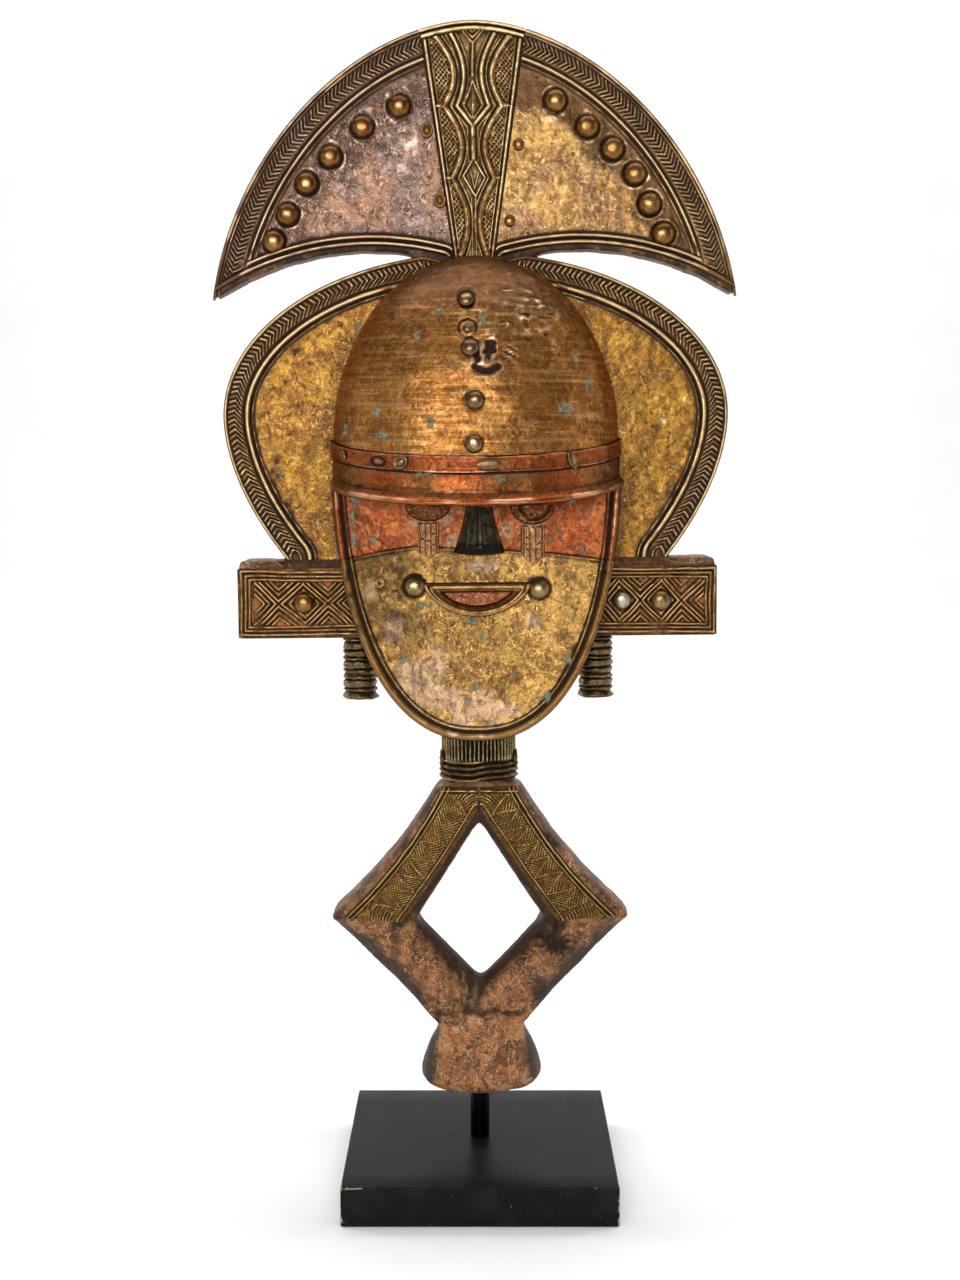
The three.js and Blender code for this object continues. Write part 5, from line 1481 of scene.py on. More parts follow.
# Copper sheet that nothing rubs: a matt red brown.
inset_copper = aged_metal(
    "dull_mouth_copper", "#7c3c28", "#6c3422", "#8c4e3a", "#4a2818", "#180c08", "#d8a488", rough=0.45,
    cloud_size=6, patch_size=4, scratch=0.3, shift=0.33)


def half_moon(shrink, turn):
    """A point on the mouth's outline: the bow for turns up to half a circle, the straight lip after."""
    half = MOUTH_HALF - shrink * 2.0
    base = MOUTH_TOP - shrink * 0.8
    drop = MOUTH_DROP - shrink * 1.7
    back = held(turn / math.pi - 1)
    x = np.where(turn <= math.pi, half * np.cos(turn), -half + 2 * half * back)
    bow_z = base - drop * held(np.sin(turn)) ** 1.4
    return np.stack([x, np.where(turn <= math.pi, bow_z, base)], 1)


def lips():
    kept = {}

    def place(u, v):
        turn = 2 * math.pi * (1 - u)
        outer, inner = half_moon(0, turn), half_moon(LIP_WIDTH, turn)
        ground = on_face(*(inner + (outer - inner) * v[:, None]).T)
        lines = ridges(v, ((0.91, 0.18, 1.1), (0.6, 0.16, 1.0), (0.22, 0.15, 0.8)))
        tall = 0.8 + 1.3 * np.sin(math.pi * held(v)) ** 0.6 + lines + 0.1 * wobble(ground, 3, 151)
        kept["height"] = tall
        return ground - np.array([0, 1, 0]) * tall[:, None]

    piece = laid_grid("double_lips", 150, 26, place)
    rub(piece, kept["height"], 0.9, 5, 0.07)
    merge(piece, 0.004)
    thicken(piece)
    dress(piece, ["mouth_lips"], dark_brass)


def inset_outline(u, v):
    low = half_moon(LIP_WIDTH, math.pi * (1 - u))
    return np.stack([low[:, 0], low[:, 1] + (MOUTH_TOP - 3.4 - low[:, 1]) * v], 1)


lips()
laid_on_face("mouth_of_copper", 60, 16, inset_outline, lambda u, v, g: 0.5 + 0.25 * wobble(g, 4, 153),
             ["mouth_inset"], inset_copper, 154)

# %% [markdown]
# The ear bar carries two chased plates. Frames nest inside frames, and the field between them is cut by
# double lines into crossings and lozenges.

# %% Ear plates
EAR_LOW = 224.1
EAR_HIGH = 257.2
EAR_START = 55
EAR_END = 114.8
EAR_MIDDLE = (EAR_LOW + EAR_HIGH) / 2
EAR_FACE = -10.5
EAR_BACK = -9.3
EAR_FRAMES = ((1.5, 1.25, 0.8), (3.5, 1.25, 0.8), (5.3, 1.25, 0.8))
SLANTED = ((0.85, 1.5, 0.95), (3.0, 1.1, 0.6), (4.9, 1.2, 0.75))


def ear_surface(side):
    def surface(u, v):
        run = u if side > 0 else 1 - u
        x = EAR_START + (EAR_END - EAR_START) * run
        return np.stack([side * x, np.full(len(u), EAR_FACE), EAR_LOW + (EAR_HIGH - EAR_LOW) * v], 1)
    return surface


def ear_relief(side, middles, reach, studs, seed):
    """Crossings of slanted lines round the middles, each this far to either side."""
    def relief(points, u, v):
        x = side * points[:, 0] + 0.7 * wobble(points, 12, seed)
        z = points[:, 2] + 0.6 * wobble(points, 13, seed + 1)
        inside = np.minimum(np.minimum(EAR_END - x, z - EAR_LOW), EAR_HIGH - z)
        rise = (EAR_HIGH - EAR_LOW) / 2 - 6
        drawn = np.zeros(len(x))
        centres = np.zeros(len(x))
        for middle in middles:
            dx, dz = np.abs(x - middle), np.abs(z - EAR_MIDDLE)
            slant = (dx * rise - dz * reach) / math.hypot(rise, reach)
            slant = np.where(dx < reach + 0.6, np.abs(slant), 9)
            drawn = np.maximum(drawn, ridges(slant, SLANTED))
            centres = np.maximum(centres, rising(slant, 5.6, 0.6) * (slant < 9))
        field = rising(inside, 6.0, 0.4)
        lines = np.maximum(ridges(inside, EAR_FRAMES), drawn * field)
        lines *= np.clip(0.8 + 0.45 * wobble(points, 5, seed + 2), 0.3, 1.1)
        height = lines + halo(points, studs, 4.4) * 0.6 + 0.12 * wobble(points, 9, seed + 3)
        copper = centres * field * held(0.6 + 1.2 * wobble(points, 13, seed + 4))
        top = 0.5 * held(1 - (EAR_HIGH - points[:, 2]) / 1.2) * wobble(points, 4, seed + 5)
        return height, {"soil": 0.05 - 0.25 * np.maximum(top, 0) - 0.1 * copper, "gilt": copper}
    return relief


ear_studs = {-1: studs_on(["ear_stud_1"]), 1: studs_on(["ear_stud_2", "ear_stud_3"])}
for side, word, middles, reach in ((-1, "left", (94.8, 71.5), 11.65),
                                   (1, "right", (98.2, 78.1, 58.0), 10.05)):
    piece = chased(f"chased_ear_{word}", 146, 82, ear_surface(side),
                   ear_relief(side, middles, reach, ear_studs[side], 161 + side), 1.05, 14)
    back_up(piece, EAR_BACK)
    dress(piece, [f"ear_plate_{word}"], dark_brass)

# %% [markdown]
# Turned parts repeat: studs, rivets, clips and the coiled ear drops. Each is a profile carried round its
# axis, and a little noise takes the lathe's look off it. The grid's seam and poles are merged, and the
# normals are then turned outwards.

# %% Turned parts
def turned(name, around, up, profile, rough, seed):
    """A closed form from profile(v, turn) giving radius and height, laid round the z axis."""
    def place(u, v):
        turn = 2 * math.pi * u
        radius, height = profile(v, turn)
        points = np.stack([radius * np.cos(turn), radius * np.sin(turn), height], 1)
        return points + rough * np.stack([wobble(points, 3, seed + i) for i in range(3)], 1)

    piece = laid_grid(name, around, up, place)
    merge(piece, 0.002)
    bpy.ops.object.mode_set(mode="EDIT")
    bpy.ops.mesh.select_all(action="SELECT")
    bpy.ops.mesh.normals_make_consistent(inside=False)
    bpy.ops.object.mode_set(mode="OBJECT")
    return piece


print("a turned part is closed all round")

# %% [markdown]
# A stud's head is a dome over a flat foot, and a washer is a ring round a small head. Each is set on the
# place of its solid.

# %% Heads of studs
def stud_profile(radius):
    """A round head: nine tenths of a dome's rise, closed by a flat foot."""
    rise = radius * 0.72
    rim = 0.85

    def profile(v, turn):
        lift = held(v / rim) * math.pi / 2
        r = np.where(v < rim, radius * np.sin(lift) ** 0.9, radius * (1 - (v - rim) / (1 - rim)))
        return r, np.where(v < rim, rise * np.cos(lift) ** 0.85, 0.0)
    return profile


def washer_profile(radius):
    """A ring with a small round head in its middle."""
    rim = 0.9

    def profile(v, turn):
        lift = held(v / rim) * math.pi / 2
        r = np.where(v < rim, radius * np.sin(lift), radius * (1 - v) / (1 - rim))
        dot = 0.42 * held(1 - (r / radius / 0.42) ** 2)
        ring = 0.4 * held(1 - ((r / radius - 0.78) / 0.22) ** 2)
        return r, np.where(v < rim, radius * (0.14 + dot + ring), 0)
    return profile


def set_stud(name, node, profile, facing, finish, seed, sink, stretch=(1, 1), spin=0.0, around=26, up=18):
    """A turned head set on its solid's place, facing outwards, stretched and spun in its own plane. The
    crown is painted lighter as a highlight and the foot darker as grime and shade."""
    piece = turned(name, around, up, profile, 0.12, seed)
    points = points_of(piece)
    tall = points[:, 2].max()
    # Painted highlight on the crown and painted shade at the foot.
    crown = held((points[:, 2] / tall - 0.55) / 0.45) ** 1.5
    paint_on(piece, "wear_and_shading", LEVEL + 0.3 * crown + 0.08 * wobble(points, 4, seed + 5))
    paint_on(piece, "tint", held(1 - points[:, 2] / (0.45 * tall)))
    centre = studs_on([node])[0]
    facing = Vector(facing).normalized()
    turn = Vector((0, 0, 1)).rotation_difference(facing).to_matrix().to_4x4()
    turn = turn @ Matrix.Rotation(math.radians(spin), 4, "Z") @ Matrix.Diagonal((*stretch, 1, 1))
    piece.data.transform(Matrix.Translation(centre - facing * sink) @ turn)
    dress(piece, [node], finish)


print(sum("_stud_" in node or "_rivet_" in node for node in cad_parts), "heads to set")

# %% [markdown]
# The studs were cast and then rubbed with the sheets round them, so they are smooth. Each is painted
# darker at the foot, as grime and shade, and lighter on the crown, as a highlight. Small differences
# between them tell that they were made one by one.

# %% Finishes of the studs
STUDS = dict(rough=0.3, cloud_size=12, patch_size=7, scratch=0.15, rub=(0.66, 1.0), grime=(0.4, 0.2),
             depth=0.2)
# Bronze, cast: golden brown.
stud_bronze = aged_metal(
    "bronze_studs", "#86602e", "#7a5428", "#946c38", "#4a3016", "#140b05", "#dcb478", tint="#2a190c",
    scuff="#a07840", speck=0.15, shift=0.07, **{**STUDS, "scratch": 0.1})
# Bronze with more copper, cast: a redder brown.
coppery_bronze = aged_metal(
    "coppery_bronze_studs", "#80542c", "#704422", "#8c6034", "#46290f", "#140b05", "#e0b880",
    tint="#261609", scuff="#98703c", speck=0.15, shift=0.57, **{**STUDS, "scratch": 0.1})
# Bronze with a grey skin: pewter brown, as on the brow.
brow_studs = aged_metal(
    "greyed_brow_studs", "#785a3c", "#6c5038", "#88694a", "#33241a", "#120b07", "#d0b48c", tint="#20150e",
    scuff="#9c8468", speck=0.2, shift=0.17, **STUDS)
# White metal with a lime crust: a chalky grey that hardly shines.
pale_stud = aged_metal(
    "whitish_stud", "#a89a80", "#8c7c60", "#b8ac98", "#5c4c38", "#2a1e14", "#ece4d0", tint="#4a3c2c",
    scuff="#ccc4b0", rough=0.4, cloud_size=7, patch_size=3.5, speck=0.4, scratch=0.3, shift=0.27,
    rub=(0.6, 0.95), grime=(0.4, 0.2), depth=0.4)
# Brass with a grey skin: golden grey, as at the corners of the mouth.
mouth_stud = aged_metal(
    "golden_grey_studs", "#8c744a", "#7c664a", "#9c845c", "#4a3820", "#140c06", "#dcc898", tint="#2c2014",
    scuff="#a89068", speck=0.25, shift=0.77, **{**STUDS, "rough": 0.32, "patch_size": 6})

# %% [markdown]
# Each head stands where its solid does and sinks a little into the sheet. Those on the forehead face
# along the normal of the ellipsoid under them.

# %% Studs, rivets and clips
FRONT = (0, -1, 0)
MOUTH_FRONT = (0, -1, 0.12)
STUD = 5.3
SUNK = 0.36
RIVET_OVAL = {"left": (1.2, 1.55), "right": (1.0, 1.15)}
for word in ("left", "right"):
    for i in range(1, 7):
        set_stud(f"crest_stud_head_{word}_{i}", f"crest_stud_{word}_{i}", stud_profile(STUD), FRONT,
                 coppery_bronze if word == "left" else stud_bronze, 10 * i, SUNK * STUD)
    for i in (1, 2):
        profile = washer_profile(2.4) if word == "left" else stud_profile(2.6)
        set_stud(f"crest_rivet_head_{word}_{i}", f"crest_rivet_{word}_{i}", profile, FRONT,
                 coppery_bronze, 200 + 10 * i, 0.4, RIVET_OVAL[word], 0, 24, 20)
    set_stud(f"mouth_stud_head_{word}", f"mouth_stud_{word}", stud_profile(5.1), MOUTH_FRONT,
             mouth_stud, 300, 1.8)
for i, radius in enumerate((3.8, 2.3, 4.2, 4.2, 4.2), 1):
    x, y, z = studs_on([f"forehead_stud_{i}"])[0]
    facing = (x / HEAD_HALF ** 2, (y - SHEET_BACK) / HEAD_DEPTH ** 2, (z - BROW) / HEAD_RISE ** 2)
    set_stud(f"forehead_stud_head_{i}", f"forehead_stud_{i}", stud_profile(radius), facing, brow_studs,
             400 + 10 * i, SUNK * radius)
for i, (radius, metal) in enumerate(((4.8, stud_bronze), (4.8, mouth_stud), (4.1, pale_stud)), 1):
    set_stud(f"ear_stud_head_{i}", f"ear_stud_{i}", stud_profile(radius), FRONT, metal, 500 + 10 * i,
             SUNK * radius)
# Each clip is its width and height, its spin in degrees and its profile.
CLIPS = (((1.9, 2.5), 0, washer_profile(1.0)), ((3.9, 3.1), 8, washer_profile(1.0)),
         ((5.8, 2.4), 6, stud_profile(1.0)), ((4.6, 2.2), -42, stud_profile(1.0)))
BAND_OUT = 1.7
for i, (stretch, spin, profile) in enumerate(CLIPS, 1):
    x, y, _ = studs_on([f"band_clip_{i}"])[0]
    facing = (x / (HEAD_HALF + BAND_OUT) ** 2, (y - SHEET_BACK) / (HEAD_DEPTH + BAND_OUT) ** 2, 0)
    set_stud(f"band_clip_strap_{i}", f"band_clip_{i}", profile, facing, brow_studs, 550 + 10 * i, 0.2,
             stretch, spin, 28, 20)

# %% [markdown]
# Under each end of the bar hangs a drop of thick wire, wound in ten turns with a wider one at its foot.
# The turns slip a little, as hand-wound wire does.

# %% Coiled ear drops
COIL_RINGS = 10
COIL_LENGTH = 30.5
COIL_CORE = 7.1
COIL_PLACE = (57.6, 5, 192.7)
COIL_CAP = 0.04
# Brass wire, grey green all over: a painted soft light on each turn and painted shade, near black,
# between them.
wire_metal = aged_metal(
    "grey_green_wire", "#655438", "#574630", "#6e6244", "#2c2416", "#0e0a06", "#d4ccaa", rough=0.36,
    cloud_size=8, patch_size=4, scratch=0.4, green=0.5, shift=0.43)


def coil_profile(v, turn):
    height = COIL_LENGTH * held((v - COIL_CAP) / (1 - 2 * COIL_CAP))
    slip = 0.16 * np.sin(1.3 * height) + 0.12 * np.sin(turn + 0.7 * height)
    wave = np.abs(np.sin(math.pi * (height / COIL_LENGTH * COIL_RINGS + slip))) ** 0.8
    radius = COIL_CORE + 1.3 * wave + 0.8 * held(1 - height / 3.0)
    closing = np.minimum(held(v / COIL_CAP), held((1 - v) / COIL_CAP))
    return radius * np.where((v < COIL_CAP) | (v > 1 - COIL_CAP), closing, 1), height


for side, word in SIDES:
    coil = turned(f"wound_ear_drop_{word}", 44, 100, coil_profile, 0.3, 600 + side)
    # Painted light on the outside of each turn and painted shade between the turns.
    rub(coil, np.hypot(*points_of(coil)[:, :2].T), 0.7, 5, 0.06)
    coil.data.transform(Matrix.Translation((side * COIL_PLACE[0], *COIL_PLACE[1:])))
    dress(coil, [f"ear_coil_{word}"], wire_metal)

# %% [markdown]
# A fluted brass sleeve covers the oval neck, and turns of wire bind its foot. Both are closed tubes
# whose wall stands out by a wave: across the turn for the flutes, along the height for the wire.

# %% Sleeve round the neck
NECK_HALF = 16.4
NECK_DEPTH = 14
NECK_LOW = 154.2
NECK_SEAM = 163.8
NECK_HIGH = 181.0
FLUTES = 54
# Brass with an even green skin, pressed in flutes: dark green gold with fine bright lines.
wrap_metal = aged_metal(
    "greenish_wrap_brass", "#685433", "#56462c", "#5e583a", "#281c0f", "#0c0804", "#c8ba8c", cloud_size=9,
    patch_size=4, scratch=0.3, green=0.4, shift=0.35, rub=(0.56, 0.76))


def oval_sleeve(name, around, up, low, high, reach, seed, soil):
    """A closed tube round the oval neck whose wall stands out by reach(turn, height share)."""
    def place(u, v):
        turn = 2 * math.pi * u
        wall = held((v - 0.06) / 0.88)
        out = np.where((v < 0.03) | (v > 0.97), 0.2, reach(turn, wall))
        x = (NECK_HALF + out) * np.cos(turn)
        y = (NECK_DEPTH + out) * np.sin(turn)
        points = np.stack([x, y, low + (high - low) * wall], 1)
        return points + 0.1 * np.stack([wobble(points, 2.5, seed + i) for i in range(3)], 1)

    piece = laid_grid(name, around, up, place)
    out = np.hypot(points_of(piece)[:, 0] / NECK_HALF, points_of(piece)[:, 1] / NECK_DEPTH) * 15
    rub(piece, out, 0.9, 6, soil)
    merge(piece)
    return piece


def flutes(turn, wall):
    shift = 0.02 * np.sin(5 * turn) * wall
    return 0.4 + 1.3 * np.abs(np.sin((turn + shift) * FLUTES / 2)) ** 1.9


wrap = oval_sleeve("fluted_neck_wrap", 448, 20, NECK_SEAM, NECK_HIGH, flutes, 701, 0.12)
dress(wrap, ["neck_wrap"], wrap_metal)

# %% [markdown]
# The binding's wire crosses over itself in front, and a loop stands out at each side. The loops are
# rings that are joined to the binding's mesh.

# %% Wire binding
TURNS_OF_WIRE = 3.4
LOOP_PLACE = (17.6, -3, 163.2)
# Copper wire, half green and half brown: dull, with broken patches of verdigris.
binding_metal = aged_metal(
    "brown_binding_copper", "#664628", "#563820", "#5e5636", "#2c1c0e", "#100904", "#b49468",
    scuff="#8a6c44", rough=0.42, cloud_size=12, patch_size=6, green=0.95, shift=0.57, rub=(0.62, 0.9),
    grime=(0.47, 0.3))


def strands(turn, wall):
    crossing = 0.5 * bell((turn - 4.6) / 0.3)
    slide = 0.32 * np.sin(2 * turn + 0.6) + 0.14 * np.sin(5 * turn) + crossing
    return 1.3 + 1.7 * np.abs(np.sin(math.pi * (TURNS_OF_WIRE * wall + slide))) ** 0.7


binding = oval_sleeve("wire_binding", 150, 36, NECK_LOW, NECK_SEAM, strands, 711, 0.04)
for side in (-1, 1):
    bpy.ops.object.select_all(action="DESELECT")
    bpy.ops.mesh.primitive_torus_add(major_segments=28, minor_segments=10, major_radius=3.9,
                                     minor_radius=1.25)
    loop = bpy.context.object
    loop_place = Matrix.Translation((side * LOOP_PLACE[0], *LOOP_PLACE[1:]))
    loop.data.transform(loop_place @ Matrix.Rotation(math.pi / 2, 4, "Y"))
    paint_on(loop, "wear_and_shading", np.full(len(loop.data.vertices), 0.46))
    binding.select_set(True)
    bpy.context.view_layer.objects.active = binding
    bpy.ops.object.join()
dress(binding, ["neck_binding"], binding_metal)

# %% [markdown]
# Engraved sheets cover the upper arms of the open body. Their lines follow the arm, and triangles with
# crosshatching fill the space between them.

# %% Outlines of the arms
SHOULDER_FACE = -16.5
SHOULDER_BACK = -13.8


def curve_through(a, b, c, count):
    """A bow from a to c that leans towards b."""
    t = np.linspace(0, 1, count)[:, None]
    return (1 - t) ** 2 * np.array(a) + 2 * t * (1 - t) * np.array(b) + t ** 2 * np.array(c)


shoulder_outer = evenly(curve_through((17.5, 151.5), (36.05, 115.45), (66, 88.05), 60), 120)
hole_side = curve_through((0.6, 140.5), (18.15, 111.8), (37.7, 85.5), 60)
shoulder_inner = evenly(np.concatenate([[(0.6, 151.2)], hole_side]), 120)


def shoulder_surface(side):
    def surface(u, v):
        inner = along_path(shoulder_inner, 1 - v)
        outer = along_path(shoulder_outer, 1 - v)
        share = u if side > 0 else 1 - u
        spot = inner + (outer - inner) * share[:, None]
        return np.stack([side * spot[:, 0], np.full(len(u), SHOULDER_FACE), spot[:, 1]], 1)
    return surface


print("upper arms", round(math.dist((17.5, 151.5), (66, 88.05)), 1), "mm long")

# %% [markdown]
# The engraving is a zigzag between two border lines. It parts the band into triangles, which are hatched
# one way or the other.

# %% Shoulder sheets
ZIGZAG_PITCH = 9.5
HATCH_PITCH = 1.75
# Olive brass, engraved: muddy brown with a net of thin gold lines.
olive_brass = aged_metal(
    "olive_brass_sheet", "#684a1f", "#745020", "#54391c", "#362310", "#1a1007", "#ccaa68", tint="#50361e",
    scuff="#987239", rough=0.42, cloud_size=20, shift=0.83, rub=(0.54, 0.78), grime=(0.48, 0.3))


def shoulder_relief(side, seed):
    def relief(points, u, v):
        x, z = side * points[:, 0], points[:, 2]
        inner, along = near_path(x, z, hole_side)
        outer, _ = near_path(x, z, shoulder_outer)
        shake = 0.25 * wobble(points, 5, seed + 2)
        top = 151.3 - z
        parts = [ridge(outer - 0.9 + shake, 1.2, 0.7), ridge(outer - 3.0 - shake, 1.0, 0.6),
                 ridge(inner - 2.8 + shake, 1.0, 0.6), ridge(top - 1.6 + shake, 1.2, 0.7)]
        across = (inner - 3.5) / np.maximum(inner + outer - 7.2, 1)
        zigzag = np.abs(((along / ZIGZAG_PITCH + 0.25 * wobble(points, 11, seed + 3)) % 1) * 2 - 1)
        band = (across > 0) & (across < 1) & (top > 3)
        drawn = np.clip(0.75 + 0.5 * wobble(points, 7, seed + 6), 0.3, 1)
        parts.append(ridge((across - zigzag) * 5, 1.0, 0.5) * band * drawn)
        bent = 0.5 * wobble(points, 4, seed + 4)
        first = bar((along + inner + bent) / HATCH_PITCH, 0.5)
        second = bar((along - 1.2 * inner + bent) / HATCH_PITCH, 0.5)
        hatch = np.where(across > zigzag, np.maximum(first, 0.8 * second), np.maximum(0.5 * first, second))
        patchy = np.clip(0.75 + 0.6 * wobble(points, 5, seed + 5), 0.2, 1)
        parts.append(0.6 * hatch * patchy * band)
        height = np.max(parts, axis=0) + dented(points, seed, (0.15, 8), (0.06, 2.5))
        bare = held((2.3 - inner) / 0.5)
        return height, {"soil": 0.03 - 0.02 * bare, "tint": 0.8 * bare}
    return relief


for side, word in SIDES:
    piece = chased(f"engraved_shoulder_{word}", 64, 170, shoulder_surface(side),
                   shoulder_relief(side, 801 + side), 1.1, 8)
    back_up(piece, SHOULDER_BACK)
    dress(piece, [f"shoulder_sheet_{word}"], olive_brass)

# %% [markdown]
# The wood is a dense reddish brown timber. Centuries of hands and smoke made it nearly black in the
# hollows and gave the edges a dull shine. Grain runs upwards. Its darkest brown is also laid as painted
# shade where the carving turns away and round the hole, and a lighter brown as painted light where it
# faces up.

# %% Finish of the wood
# African hardwood, cut with an adze and smoked: red brown with pale scratches and black hollows, with
# painted shade where it turns away and painted light where it faces up.
wood = Finish("smoked_hardwood", "#8c5630", 0.44, 0.0)
wear_and_shading, tint_mark, stain_mark = [add(wood.tree, "Attribute", {"attribute_name": mark}).outputs["Fac"]
                               for mark in ("wear_and_shading", "tint", "stain")]
grain = wood.clouds(3.2, 4, 0.9, (1, 1, 0.16))
wood.lay("#66401f", (grain, 0.46, 0.66, 0.55), rough=0.52)
wood.lay("#ac7444", (wood.clouds(13, 3, 0.9), 0.48, 0.58, 0.85))
wood.lay("#52301c", (wood.clouds(16, 3, 1.4, shift=0.4), 0.52, 0.6, 0.75))
wood.lay("#38220f", (wood.clouds(3, 3, 1.0), 0.57, 0.66, 0.7))
gate = wood.clouds(4.8, 1, shift=0.7)
large = wood.clouds(6.4, 2, 2.2)
small = wood.clouds(3.4, 2, 2.2, shift=0.5)
wood.lay("#3a2416", (wood.off_level(large, 0.43), 0.05, 0, 1), (gate, 0.5, 0.4, 0.5))
wood.lay("#e0b88e", (wood.off_level(large, 0.5), 0.04, 0, 1), (gate, 0.48, 0.56, 0.8))
wood.lay("#d8ac7e", (wood.off_level(small, 0.5), 0.05, 0, 1), (gate, 0.56, 0.46, 0.75))
# Painted shade, near black, and painted light, a lighter brown, laid by the wood's wear mark.
wood.lay("#26180e", (wear_and_shading, 0.49, 0.24, 0.92), rough=0.5)
wood.lay("#bc8858", (wear_and_shading, 0.6, 0.85, 0.6), rough=0.4)
wood.lay("#c4a27c", tint_mark, rough=0.6)
wood.lay("#120c08", stain_mark, rough=0.7)
old_wood = wood.done([(grain, 0.5), (wood.clouds(1.6, 3, stretch=(1, 1, 0.3)), 0.15)], gloss=0.2)
print("old wood")

# %% [markdown]
# The wood under and between the sheets was cut with an adze and smoothed by wear. A copy of its solid
# is remeshed finely, so that its points lie close enough to be moved one by one. The copy gives up what
# ties the solid to the frame, as it is a piece of its own.

# %% A fine copy of the core
VOXEL = 1.25
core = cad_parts["wooden_core"].copy()
core.data = core.data.copy()
core.name = core.data.name = "carved_wood"
for key in list(core.keys()):
    del core[key]
core.parent = None
scene.collection.objects.link(core)
core.data.transform(to_figure)
merge(core, 0.02)
only(core)
remesh = core.modifiers.new("even_mesh", "REMESH")
remesh.mode = "VOXEL"
remesh.voxel_size = VOXEL
bpy.ops.object.modifier_apply(modifier=remesh.name)
print("carved wood with", len(core.data.vertices), "points")

# %% [markdown]
# The lower arms are worn round, and the foot and the arms have lost their sharp edges. Under the sheets
# nothing is moved. What is bare gets the flat cuts of an adze, and chips at its top edge.

# %% Carving
ARM_TOP = 88
ARM_FOOT = 42
NECK_FOOT = 154
ARM_HALF = 12.2
CHIPPED = [(12, 4, 5, 2.5), (-14, 3, 4, 2), (24, 5, 3, 2)]
points = points_of(core)
x, y, z = points.T
arms = np.min([near_path(x, z, [(side * 54, ARM_TOP), (side * 10, 44)])[0] for side in (-1, 1)], axis=0)
arched = np.sqrt(held(1 - (held(arms / ARM_HALF) * 0.92) ** 2))
squeeze = averaged(core, ((z < 84) & (z > ARM_FOOT)).astype(float), 40)
rounder = points.copy()
rounder[:, 1] = y * (1 + (arched - 1) * squeeze)
little = np.stack([averaged(core, points[:, i], 3) for i in range(3)], 1)
round_off = np.stack([averaged(core, rounder[:, i], 24) for i in range(3)], 1)
bare = averaged(core, ((y > -6.2) | (z < NECK_FOOT)).astype(float), 3)
limbs = held((ARM_TOP - z) / 5) + 0.4 * (z < NECK_FOOT) * (z >= ARM_TOP)
limbs = averaged(core, held(limbs), 4)
smooth = little + (round_off - little) * limbs[:, None]
normals = np.empty(len(points) * 3, np.float32)
core.data.vertices.foreach_get("normal", normals)
normals = normals.reshape(-1, 3)
cuts = -0.5 * np.abs(wobble(points * (1, 1, 0.4), 7, 901)) - 0.3 * np.abs(wobble(points, 3, 902))
chips = blobs(points, CHIPPED, 0.8, 903, 3)
cuts = cuts - 0.8 * chips * (y < 0)
move_points(core, points + (smooth - points) * bare[:, None] + normals * (cuts * bare)[:, None])
print("cuts up to", round(float(-cuts.min()), 2), "mm deep")

# %% [markdown]
# The wood is painted darker, as shade, where the arms turn away, round the hole, in the creases, at the
# foot's edge and on the front above the neck, and lighter, as light, on faces that look up. Pale cracks
# and one burnt star are drawn on the front.

# %% Painted shade, cracks and a burn
WAIST = [(-21, 38.6), (-13, 38.6), (-7, 41), (-1, 38.4), (7, 41), (13, 38.6), (21, 38.6)]
CREASE = [(0.6, 66), (-1, 55), (-2.6, 41)]
FOOT_TOP = 36
CRACKS = [[(-10.4, 66.2), (-6.7, 49.7), (-11.2, 36), (-20, 36.4)], [(-1.7, 62.7), (-2.8, 44.2)],
          [(-11.2, 33.8), (-4.4, 36.2)], [(-10.4, 66), (-3, 50)]]
BURN = (36.7, 73.7)
# Painted shade where faces turn sideways, on the arms' edges, at the foot's edge, in the creases, round the
# hole and on the front above the neck, and painted light where faces look up.
facing = held(np.abs(normals[:, 0]) - 0.25) * (y < 4)
rim = held(1 - arched * 0.9) * squeeze
front = (y < 2) * (z > 155)
foot_edge = rising(np.abs(x) / (22 + 0.1 * (FOOT_TOP - z)), 0.88, 0.2) * (z < FOOT_TOP)
edge_shade = 1.4 * rim ** 1.5 + 0.8 * foot_edge
creases = bell(near_path(x, z, WAIST)[0] / 1.6) + bell(near_path(x, z, CREASE)[0] / 1.1)
above = held(normals[:, 2] - 0.4) * front
hole_shade = bell(near_path(np.abs(x), z, [*hole_side[::6], hole_side[-1]])[0] / 4) * (z > 80)
shade = 0.22 * facing + 0.4 * edge_shade - 0.25 * above - 0.07 * (z < FOOT_TOP)
shade += 0.2 * creases + 0.13 * front + 0.05 * (z > ARM_FOOT) + 0.3 * hole_shade
# The wood's wear mark carries this painted shade and light, and the adze cuts are darker.
paint_on(core, "wear_and_shading", 0.57 - shade * (1 + 0.4 * wobble(points, 9, 904)) + 0.35 * cuts)
cracked = np.min([near_path(x, z, path)[0] for path in CRACKS], axis=0)
pale = held(1.1 - cracked / 0.8) * (y < -8)
pale *= 0.6 * held(0.4 + 1.2 * wobble(points, 5, 906))
paint_on(core, "tint", np.maximum(pale, 0.7 * chips * (y < 0)))
burn_x, burn_z = x - BURN[0], z - BURN[1]
spokes = np.abs(np.sin(6 * np.arctan2(burn_z, burn_x) + 2 * wobble(points, 6, 907)))
burn = 1.15 - np.hypot(burn_x / 11, burn_z / 12) - 0.5 * spokes + 0.3 * wobble(points, 4, 905)
paint_on(core, "stain", 0.95 * held(held(burn) * (y < -4) * 2.5))
# The share printed is that of points with painted shade.
print("smoke on", round(100 * float(np.mean(shade > 0.1))), "% of the points")

# %% [markdown]
# The remeshed copy has far more faces than its flat parts need. A decimate modifier takes out those that
# say least, and leaves enough for the cuts.

# %% Wooden core
CORE_TRIANGLES = 100000
thin = core.modifiers.new("fewer_faces", "DECIMATE")
thin.ratio = min(1, CORE_TRIANGLES / (2 * len(core.data.polygons)))
bpy.ops.object.modifier_apply(modifier=thin.name)
dress(core, ["wooden_core"], old_wood, edge=50)

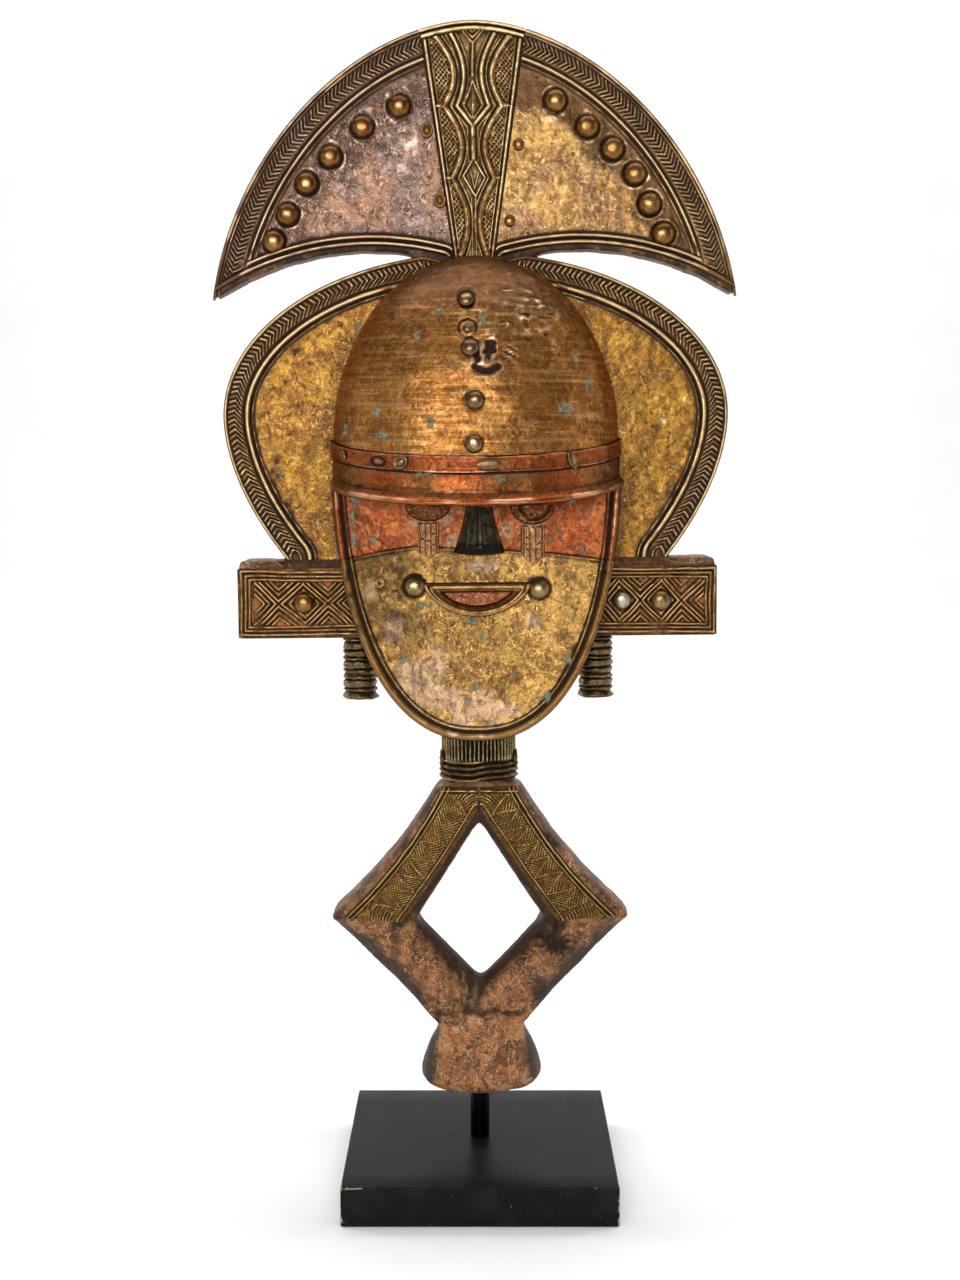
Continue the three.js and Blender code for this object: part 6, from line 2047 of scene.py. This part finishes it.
# %% [markdown]
# The museum's stand is new: a board with satin black paint and a black steel rod. Rubbed edges show a
# little of the wood under the paint.

# %% Paint and steel
# Satin paint, sprayed on fibreboard: near black, with a faint orange peel, dust and pale chips.
paint = Finish("satin_black_paint", "#1a1a1a", 0.38, 0.0)
paint_wear = add(paint.tree, "Attribute", {"attribute_name": "wear_and_shading"}).outputs["Fac"]
paint.lay("#222222", (paint.clouds(14, 3), 0.45, 0.65, 1), rough=0.44)
paint.lay("#b0a088", (paint.clouds(4, 3, shift=0.6), 0.5, 0.58, 1), (paint_wear, 0.62, 0.76, 1), rough=0.6)
paint.lay("#8c8880", (paint.clouds(1.4, 2), 0.74, 0.78, 0.6))
black_paint = paint.done([(paint.clouds(2.5, 3), 0.05)], gloss=0.05)

# Drawn steel, blacked: a dark rod with long soft streaks.
steel = Finish("black_steel", "#141414", 0.3, 1.0)
steel.lay("#2a2927", (steel.clouds(6, 4, stretch=(1, 1, 0.3)), 0.5, 0.7, 1), rough=0.4)
black_steel = steel.done([(steel.clouds(0.8, 3), 0.03)])
print("paint and steel")

# %% [markdown]
# The stand's board has slightly rounded edges with worn paint. The rod's solid is right as it is and
# only takes a better material.

# %% Stand
EDGE_RADIUS = 0.0011
base_low, base_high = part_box("base")
BOARD_HALF = 65
BOARD_TOP = 19


def base_board():
    bpy.ops.object.select_all(action="DESELECT")
    size = [(base_high[i] - base_low[i]) for i in range(3)]
    bpy.ops.mesh.primitive_cube_add(size=1, location=(base_low + base_high) / 2, scale=size)
    board = bpy.context.object
    board.name = board.data.name = "painted_base"
    bpy.ops.object.transform_apply(location=True, rotation=True, scale=True)
    bevel = board.modifiers.new("soft_edges", "BEVEL")
    bevel.width = EDGE_RADIUS
    bevel.segments = 3
    bpy.ops.object.modifier_apply(modifier=bevel.name)
    bpy.ops.object.mode_set(mode="EDIT")
    bpy.ops.mesh.select_all(action="SELECT")
    bpy.ops.mesh.subdivide(number_cuts=7)
    bpy.ops.object.mode_set(mode="OBJECT")
    return board


board = base_board()
points = points_of(board) * 1000
to_sides = np.abs(BOARD_HALF - np.abs(points[:, :2]))
to_top = np.abs(points[:, 2] - BOARD_TOP)
top_edges = bell(to_sides.min(axis=1) / 0.7) * bell(to_top / 0.7)
upright_edges = bell(np.hypot(*to_sides.T) / 1.1)
worn = (top_edges + upright_edges) * (0.8 + 0.7 * wobble(points, 21, 951))
paint_on(board, "wear_and_shading", LEVEL + 0.3 * worn)
points += 0.05 * np.stack([wobble(points, 12, 952 + i) for i in range(3)], 1)
move_points(board, points / 1000)
only(board)
board.data.materials.append(black_paint)
bpy.ops.object.shade_smooth_by_angle(angle=math.radians(35))
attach(board, "root")
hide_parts("base")
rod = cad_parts["mount_rod"]
rod.data.materials.clear()
rod.data.materials.append(black_steel)
print("painted board with", len(board.data.polygons), "faces")

# %% [markdown]
# Last, the triangles of all dressed pieces are counted and printed.

# %% Triangles in all
print("triangles in all:", sum(made))
